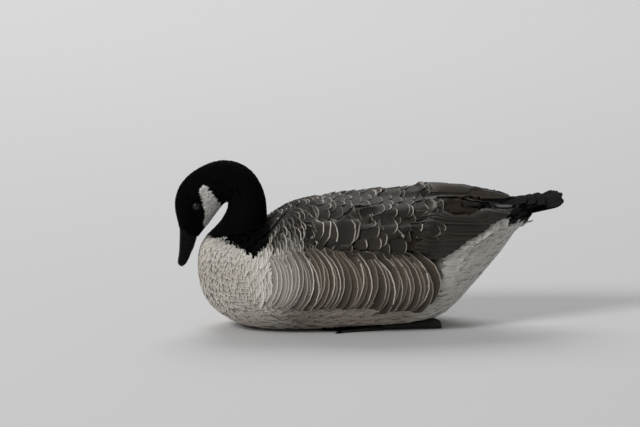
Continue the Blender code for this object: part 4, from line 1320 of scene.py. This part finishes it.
COVERT_TILES = (
    (0.0182, 0.1791, 0.024, 0.046, -3, 0.0006, 1.00),
    (0.0271, 0.1718, 0.026, 0.050, -6, 0.0004, 0.80),
    (0.0478, 0.1757, 0.026, 0.050, -3, 0.0003, 0.80),
    (0.0690, 0.1753, 0.026, 0.052, -2, 0.0002, 1.10),
    (0.0252, 0.1534, 0.042, 0.052, -6, 0.0002, 0.80),
    (0.0295, 0.1349, 0.026, 0.040, -4, 0.0001, 0.70),
    (0.0600, 0.1460, 0.036, 0.052, -16, 0.0002, 1.00),
    (0.0005, 0.1454, 0.022, 0.034, -10, 0.0003, 0.50),
    (0.0034, 0.1298, 0.018, 0.028, 0, 0.0004, 0.70),
    (-0.0171, 0.1301, 0.014, 0.020, 10, 0.0006, 0.90),
    (0.0111, 0.1339, 0.020, 0.030, -12, 0.0003, 0.60),
    (0.0915, 0.1578, 0.024, 0.056, -8, -0.0001, 0.45),
    (0.0852, 0.1423, 0.024, 0.054, -10, -0.0001, 0.50),
    (0.0774, 0.1283, 0.024, 0.050, -10, -0.0001, 0.50),
    (0.0379, 0.1234, 0.022, 0.034, -4, 0.0000, 0.40),
    (0.0150, 0.1200, 0.022, 0.034, -4, 0.0000, 0.30),
    (-0.0368, 0.1220, 0.016, 0.024, -6, -0.0002, 0.30),
    (-0.0538, 0.1224, 0.016, 0.024, -6, -0.0002, 0.30),
)
# Feathers of the right wing's upper face, which rises above the left one, told from the bird's left.
FAR_TILES = (
    (-0.0531, 0.1989, 0.026, 0.040, 5, 0.0003, 0.80),
    (-0.0298, 0.2041, 0.024, 0.040, 4, 0.0003, 1.00),
    (-0.0030, 0.2007, 0.030, 0.052, 2, 0.0002, 0.90),
    (0.0069, 0.2034, 0.026, 0.050, 0, 0.0001, 0.80),
    (0.0732, 0.2078, 0.012, 0.050, 0, 0.0001, 0.60),
    (-0.0848, 0.1938, 0.014, 0.022, 14, 0.0005, 0.90),
    (-0.0749, 0.1951, 0.014, 0.022, 10, 0.0005, 0.80),
    (-0.0665, 0.1977, 0.016, 0.024, 8, 0.0004, 0.90),
)
# The rows on top of the folded wings: the angle from level, the width, the length and the tips.
TOP_ROWS = (
    (46, 0.034, 0.044, (-0.080, -0.062, -0.040, -0.014, 0.016, 0.046)),
    (61, 0.036, 0.046, (-0.068, -0.050, -0.028, -0.002, 0.028, 0.058)),
    (76, 0.036, 0.046, (-0.072, -0.056, -0.038, -0.012, 0.016, 0.046, 0.076)),
    (90, 0.032, 0.040, (-0.068, -0.050, -0.026, 0.002, 0.032, 0.062, 0.090)),
)
UNDER_ROWS = (20, 33, 46, 57, 67, 77, 88)  # the angles of the plain rows under them all
UNDER_LEVEL = -0.0016
FAR_PAINTED_LIGHT = 1.7               # painted light: how much paler the long feathers of the right wing are made, where they lie on top in the light
RIGHT_LIFT = 0.008             # the right wing is folded a little higher than the left one
broad_vane = vane_mesh("broad_vane", 12, 12, 0.20, 2.4, fray=0.014)
covert_vane = vane_mesh("covert_vane", 12, 8, 0.13, 2.6, fray=0.012)
quill_vane = vane_mesh("quill_vane", 16, 6, 0.12, 2.6, narrow=0.10)


def on_fold(x, degrees, side):
    """The places on the coat at these x and angles above level, seen from the body's axis."""
    points = []
    for place, angle in zip(np.atleast_1d(x), np.broadcast_to(np.radians(degrees), np.atleast_1d(x).shape)):
        way = Vector((0, side * math.cos(angle), math.sin(angle)))
        origin = Vector((place, 0, BODY_AXIS))
        hit = coat_tree.ray_cast(origin + way * 0.4, -way)
        points.append(tuple(hit[0]) if hit[0] is not None else tuple(origin + way * 0.06))
    return np.array(points)


def tiles(rows, side, seen_from, lift=0.0):
    """The parts of a tract from a table of single feathers."""
    x, z, width, long, rise, level, strength = np.array(rows).T
    count = len(x)
    shake = 0.3 if side < 0 else 1.0
    tips = on_side(x + shake * seeded.normal(0, 0.0012, count), z + lift * ramp(z, 0.12, 0.16), seen_from)
    lie = along_side(tips, np.radians(rise) + shake * seeded.normal(0, 0.03, count))
    return set_back(tips, lie, long), lie, long, width, level, strength


tall_parts = []
covert_parts = [tiles(FAR_TILES, 1, -1)]
for side in (-1, 1):
    lift = RIGHT_LIFT if side > 0 else 0.0
    tall_parts.append(tiles(SHOULDER_TILES, side, side, lift))
    covert_parts.append(tiles(COVERT_TILES, side, side, lift))
    for degrees, width, length, tips_x in TOP_ROWS:
        count = len(tips_x)
        tips = on_fold(np.array(tips_x) + seeded.normal(0, 0.0015, count), degrees, side)
        lie = along_side(tips, seeded.normal(0, 0.04, count))
        long = length * seeded.uniform(0.94, 1.06, count)
        covert_parts.append((set_back(tips, lie, long), lie, long, np.full(count, width), np.full(count, 0.0),
                             seeded.uniform(0.2, 0.7, count)))
    for row, degrees in enumerate(UNDER_ROWS):
        tips_x = np.arange(-0.064 + 0.009 * (row % 2), 0.098, 0.018)
        count = len(tips_x)
        tips = on_fold(tips_x + seeded.normal(0, 0.0015, count), degrees, side)
        lie = along_side(tips, seeded.normal(0, 0.03, count))
        covert_parts.append((set_back(tips, lie, 0.040), lie, np.full(count, 0.040), np.full(count, 0.034),
                             np.full(count, UNDER_LEVEL), seeded.uniform(0.05, 0.35, count)))
for name, vane, parts in (("shoulder_coverts", broad_vane, tall_parts),
                          ("wing_coverts", covert_vane, covert_parts)):
    roots, lie, long, wide, level, strength = tract(parts)
    covert_tint = varied(WING_BROWN, len(roots), 0.8, 1.15)
    lay_feathers(name, vane, wing_finish, "plumage_wing", roots, lie, long, wide, covert_tint,
                 blend(covert_tint * 1.2, PALE_TIP * 0.8, strength.clip(0, 1)),
                 rise=seeded.uniform(0, 0.0004, len(roots)), level=level, root_depth=0.0032, tip_lift=0.0008,
                 lean=0.0, camber=0.0005, thickness=0.00035, shaft=0.00012, patch=(0.05, 0.07), spread=True)

# The long feathers, by their lower edges: the x and the height of the start and of the tip, and the width.
# The upper ones lie over the lower ones.
TERTIAL_EDGES = (
    (0.050, 0.1760, 0.1889, 0.1673, 0.022),
    (0.052, 0.1660, 0.1903, 0.1644, 0.020),
    (0.054, 0.1580, 0.1790, 0.1575, 0.018),
)
SECONDARIES = 10               # the feathers whose edges show as fine lines along the folded wing's side
SECONDARY_ENDS = ((0.1720, 0.1550), (0.0972, 0.1085))   # the x and the height of the first tip and the last
FAR_EDGES = (
    (0.0238, 0.2040, 0.1804, 0.1920, 0.022),
    (0.0097, 0.1985, 0.1296, 0.1905, 0.024),
    (0.0196, 0.1925, 0.1860, 0.1870, 0.020),
)
TOP_TERTIALS = ((56, 60, 0.192, 0.026), (66, 70, 0.186, 0.028), (78, 80, 0.150, 0.028))
PRIMARY_TIPS = ((0.214, 0.1690), (0.222, 0.1725), (0.229, 0.1755), (0.235, 0.1780), (0.239, 0.1800))


def strung(starts, ends):
    """The way and the length from each start to its end."""
    run = ends - starts
    return unit(run), np.linalg.norm(run, axis=1)


def edged(rows, seen_from, lean, levels, lift=0.0):
    """The parts of a tract of long feathers from a table of their lower edges."""
    start_x, start_z, end_x, end_z, width = np.array(rows).T
    starts = on_side(start_x, start_z + width * 0.45 + lift, seen_from)
    ends = on_side(end_x, end_z + width * 0.38 + lift, seen_from)
    lie, long = strung(starts, ends)
    return starts, lie, long, width, np.full(len(width), lean), levels


quill_parts = [edged(FAR_EDGES, -1, -0.0009, np.array((0.0, 0.0010, 0.0005)))]
black_parts = []
for side in (-1, 1):
    lift = RIGHT_LIFT * 0.7 if side > 0 else 0.0
    edges = list(TERTIAL_EDGES)
    for share in np.linspace(0, 1, SECONDARIES):
        end_x, end_z = [a + (b - a) * share for a, b in zip(*SECONDARY_ENDS)]
        edges.append((0.050, end_z + 0.0006 - 0.003 * share, end_x, end_z, 0.016))
    quill_parts.append(edged(edges, side, side * 0.0016, np.linspace(0.0026, 0.0002, len(edges)), lift))
    top = np.array(TOP_TERTIALS)
    starts = on_fold(np.full(len(top), 0.040), top[:, 0], side)
    ends = on_fold(top[:, 2], top[:, 1], side)
    lie, long = strung(starts, ends)
    quill_parts.append((starts, lie, long, top[:, 3], np.full(len(top), side * 0.0008),
                        np.array((0.0010, 0.0004, 0.0))))
    tips_x, tips_z = np.array(PRIMARY_TIPS if side < 0 else PRIMARY_TIPS[:3]).T
    tips = on_side(tips_x, tips_z, side)
    starts = on_side(tips_x - 0.050, tips_z - (0.005 if side < 0 else 0.012), side)
    lie, long = strung(starts, tips)
    black_parts.append((starts, lie, long, np.full(len(tips), 0.014), np.full(len(tips), side * 0.0008),
                        np.full(len(tips), -0.0008)))
roots, lie, long, wide, lean, level = tract(quill_parts)
quill_tint = varied(QUILL_BROWN, len(roots), 0.85, 1.15)
# Painted light: the long feathers of the right wing that lie on top are made paler.
quill_tint[:len(FAR_EDGES)] *= FAR_PAINTED_LIGHT
lay_feathers("wing_quills", quill_vane, quill_finish, "plumage_wing", roots, lie, long, wide, quill_tint,
             quill_tint * 1.5, lean=lean, level=level, root_depth=0.0030, tip_lift=0.0002, camber=0.0003,
             thickness=0.00045, shaft=0.0003, patch=(0.10, 0.025), spread=True)
roots, lie, long, wide, lean, level = tract(black_parts)
lay_feathers("wing_primaries", quill_vane, black_finish, "tail_black", roots, lie, long, wide,
             QUILL_BLACK, QUILL_BLACK * 1.6, lean=lean,
             level=level, root_depth=0.0010, tip_lift=0.0, camber=0.0004, thickness=0.00045, shaft=0.0003,
             patch=(0.12, 0.06), spread=True)


# The rump and the tail: a low fan of black feathers, each with a stiff shaft. Short black coverts lie over
# their roots.
TAIL_FEATHERS = 16
TAIL_TILT = 0.085              # how much higher the right edge is held, for each metre of width
TAIL_COVERTS = ((0.248, 0.1735, 0.030, 11), (0.236, 0.1720, 0.024, 9), (0.224, 0.1705, 0.018, 7))
fan = np.linspace(-1, 1, TAIL_FEATHERS)
fan_out = np.abs(fan)


def tail_layer(starts, ends, width, level, lean):
    """The parts of a flat layer of the tail. Its feathers lie on the air, tilted as the tail is."""
    lie, long = strung(starts, ends)
    count = len(starts)
    spread = np.linspace(-1, 1, count)
    out = unit(np.column_stack([np.full(count, -0.28), -TAIL_TILT - 0.10 * spread, np.ones(count)]))
    return starts, lie, long, np.full(count, width), level, lean, out


starts = np.stack([np.full(TAIL_FEATHERS, 0.2050), 0.0150 * fan, np.full(TAIL_FEATHERS, 0.1570)], axis=1)
ends = np.stack([0.2715 - 0.0070 * fan_out**2 + 0.0016 * np.cos(9 * fan), 0.0410 * fan,
                 0.1775 - 0.0016 * fan_out + TAIL_TILT * 0.041 * fan], axis=1)
tail_parts = [tail_layer(starts, ends, 0.0135, -0.0042 * fan_out, -0.0006 * np.sign(fan))]
for row, (end_x, end_z, half, count) in enumerate(TAIL_COVERTS):
    spread = np.linspace(-1, 1, count)
    starts = np.column_stack([np.full(count, end_x - 0.040), 0.5 * half * spread,
                              np.full(count, end_z - 0.008)])
    ends = np.stack([end_x - 0.004 * spread**2, half * spread, end_z + TAIL_TILT * half * spread], axis=1)
    level = 0.0012 * (row + 1) - 0.0030 * np.abs(spread)
    tail_parts.append(tail_layer(starts, ends, 0.0130, level, 0 * spread))
roots, lie, long, wide, level, lean, out = tract(tail_parts)
lay_feathers("tail_feathers", quill_vane, black_finish, "tail_black", roots, lie, long, wide,
             QUILL_BLACK, QUILL_BLACK * 2.4, lean=lean,
             level=level, root_depth=0.001, tip_lift=0.0, camber=0.0009, thickness=0.0005, shaft=0.0003,
             patch=(0.2, 0.05), spread=True, out=out, cling=0.0)


# The legs and the feet. They are tucked under the belly and lie on the floor with the toes forward. Each
# shank is covered with small scales, three toes are joined by a web, and every toe ends in a blunt claw.
LEG_SHIFT = -0.0006
FOOT_SPREAD = 0.050
SHANK_HEEL = 0.094
BALL = 0.012
MIDDLE_TOE = 0.082
SIDE_TOE = 0.067
TOE_SPLAY = math.radians(17)
TOE_STEPS = (64, 60)
TOE_WIDTH = 0.0055              # of the outer toes at their roots, past their middle line
WEB_HEIGHT = 0.0016
TOE_HEIGHT = (0.0046, 0.0036)   # how far the toes rise above the web at their roots, and what is lost outward
SHANK_STATIONS = np.array([     # the place behind the ball, the half width and the half height
    (BALL + 0.0005, 0.0058, 0.0044), (BALL + 0.0080, 0.0050, 0.0052), (BALL + 0.0300, 0.0042, 0.0056),
    (SHANK_HEEL - 0.0240, 0.0046, 0.0060), (SHANK_HEEL - 0.0100, 0.0062, 0.0074),
    (SHANK_HEEL - 0.0030, 0.0052, 0.0062), (SHANK_HEEL + 0.0006, 0.0030, 0.0040),
    (SHANK_HEEL + 0.0016, 0.0008, 0.0014),
])
SHANK_STEPS = (90, 28)
SHANK_FULLNESS = 2.2
SCUTES = (15, 20)              # the plates on a toe, and down the front of a shank
CLAW_LENGTH = 0.0085
CLAW_STEPS = (10, 14)

leg_finish, tree, shader = finish_material("leg_skin", 0.5, Specular_IOR_Level=0.35)
leg_place = node(tree, "ShaderNodeTexCoord").outputs["Object"]
leg_scales = texture(tree, "ShaderNodeTexVoronoi", leg_place, 620.0, feature="DISTANCE_TO_EDGE")
leg_stain = texture(tree, "ShaderNodeTexNoise", leg_place, 90.0).outputs["Fac"]
leg_seam = node(tree, "ShaderNodeMapRange", leg_scales.outputs["Distance"], 0.0, 0.16, 0.0, 1.0).outputs[0]
leg_shade = node(tree, "ShaderNodeMath", leg_seam, leg_stain, operation="MULTIPLY").outputs[0]
leg_colour = between(tree, leg_shade, paint(0.07, 0.065, 0.06), paint(0.25, 0.235, 0.22))
tree.links.new(leg_colour, shader.inputs["Base Color"])
leg_rough = node(tree, "ShaderNodeMapRange", leg_stain, 0.3, 0.7, 0.42, 0.62).outputs[0]
tree.links.new(leg_rough, shader.inputs["Roughness"])
give_relief(tree, shader, leg_seam, 0.00022)


def toe_ridge(across):
    """1 along each of the three toes, and less on the web between them."""
    return np.exp(-((across[..., None] - np.array((-1.0, 0.0, 1.0))) / 0.17) ** 2).max(axis=-1)


def foot_reach(along, across):
    toe = MIDDLE_TOE - (MIDDLE_TOE - SIDE_TOE) * across**2
    return (0.80 * toe + 0.20 * toe * toe_ridge(across) ** 1.5) * along


def claw_rings(base, way, size):
    """A blunt claw that curves down from its base to its tip."""
    rings = []
    aside = np.array((-way[1], way[0], 0.0))
    for share in np.linspace(0, 1, CLAW_STEPS[0]):
        girth = size * 0.23 * (1 - share**1.6) + 0.0002
        middle = base + way * size * share + np.array((0, 0, 1.0)) * (0.0006 - 0.0010 * share**2)
        angle = np.linspace(0, 2 * np.pi, CLAW_STEPS[1], endpoint=False)[:, None]
        ring = middle + aside * np.cos(angle) * girth + np.array((0, 0, 1.0)) * np.sin(angle) * girth * 1.15
        ring[:, 2] = np.maximum(ring[:, 2], 0.0)
        rings.append(ring)
    return rings


for side, label in ((-1, "left"), (1, "right")):
    along, across = np.meshgrid(np.linspace(0, 1, TOE_STEPS[0]), np.linspace(-1, 1, TOE_STEPS[1]),
                                indexing="ij")
    ridge = toe_ridge(across)
    reach = foot_reach(along, across)
    angle = TOE_SPLAY * across
    width = TOE_WIDTH * (1 - 0.35 * along)
    x = LEG_SHIFT + BALL - reach * np.cos(angle)
    y = side * FOOT_SPREAD + reach * np.sin(angle) + width * across
    height = WEB_HEIGHT + (TOE_HEIGHT[0] - TOE_HEIGHT[1] * along) * ridge
    plates = 0.00022 * np.abs(np.sin(np.pi * SCUTES[0] * reach / MIDDLE_TOE)) ** 0.5 * ridge**2
    creases = 0.00012 * np.sin(90 * across) * (1 - ridge) * along
    top = np.stack([x, y, height + plates + creases], axis=2)
    sole = np.stack([x, y, 0.00012 + 0 * x], axis=2)[:, ::-1]
    closed_rings("webbed_foot_" + label, np.concatenate([top, sole], axis=1), leg_finish,
                 ["foot_" + label])
    run = np.linspace(0, 1, SHANK_STEPS[0])
    stations = through(SHANK_STATIONS, run * (len(SHANK_STATIONS) - 1))
    turn = np.linspace(0, 2 * np.pi, SHANK_STEPS[1], endpoint=False)
    rings = []
    for share, (place, half, tall) in zip(run, stations):
        plate = 0.00025 * abs(math.sin(math.pi * SCUTES[1] * share)) ** 0.5
        c, s = [np.sign(part) * np.abs(part) ** (2 / SHANK_FULLNESS) for part in (np.cos(turn), np.sin(turn))]
        rings.append(np.stack([np.full(len(turn), LEG_SHIFT + place), side * FOOT_SPREAD + half * s,
                               np.maximum(tall * 0.94 + (tall + plate * (c > 0)) * c, 0.0)], axis=1))
    closed_rings("shank_" + label, rings, leg_finish, ["leg_" + label])
    for toe, reach_share in (("inner", -1.0), ("middle", 0.0), ("outer", 1.0)):
        way = np.array((-math.cos(TOE_SPLAY * reach_share), math.sin(TOE_SPLAY * reach_share), 0.0))
        tip_reach = float(foot_reach(np.array(1.0), np.array(reach_share))) - 0.0030
        ball = np.array((LEG_SHIFT + BALL, side * FOOT_SPREAD + 0.0036 * reach_share, 0.0010))
        rings = claw_rings(ball + way * tip_reach, way, CLAW_LENGTH)
        closed_rings(f"claw_{toe}_{label}", rings, horn_finish)
    heel = np.array((LEG_SHIFT + BALL + 0.006, side * (FOOT_SPREAD - 0.0062), 0.0014))
    way = unit(np.array((-0.75, -0.66 * side, 0.0)))
    closed_rings("hind_toe_" + label, claw_rings(heel, way, 0.0125), leg_finish)
    closed_rings("claw_hind_" + label, claw_rings(heel + way * 0.0100, way, 0.0055), horn_finish)


# The end. The single vanes and the coat's surface were only tools, so they go.
for leaf in (velvet_vane, soft_vane, belly_vane, shoulder_vane, flank_vane, broad_vane, covert_vane,
             quill_vane):
    bpy.data.objects.remove(leaf)
bpy.data.objects.remove(coat_object)
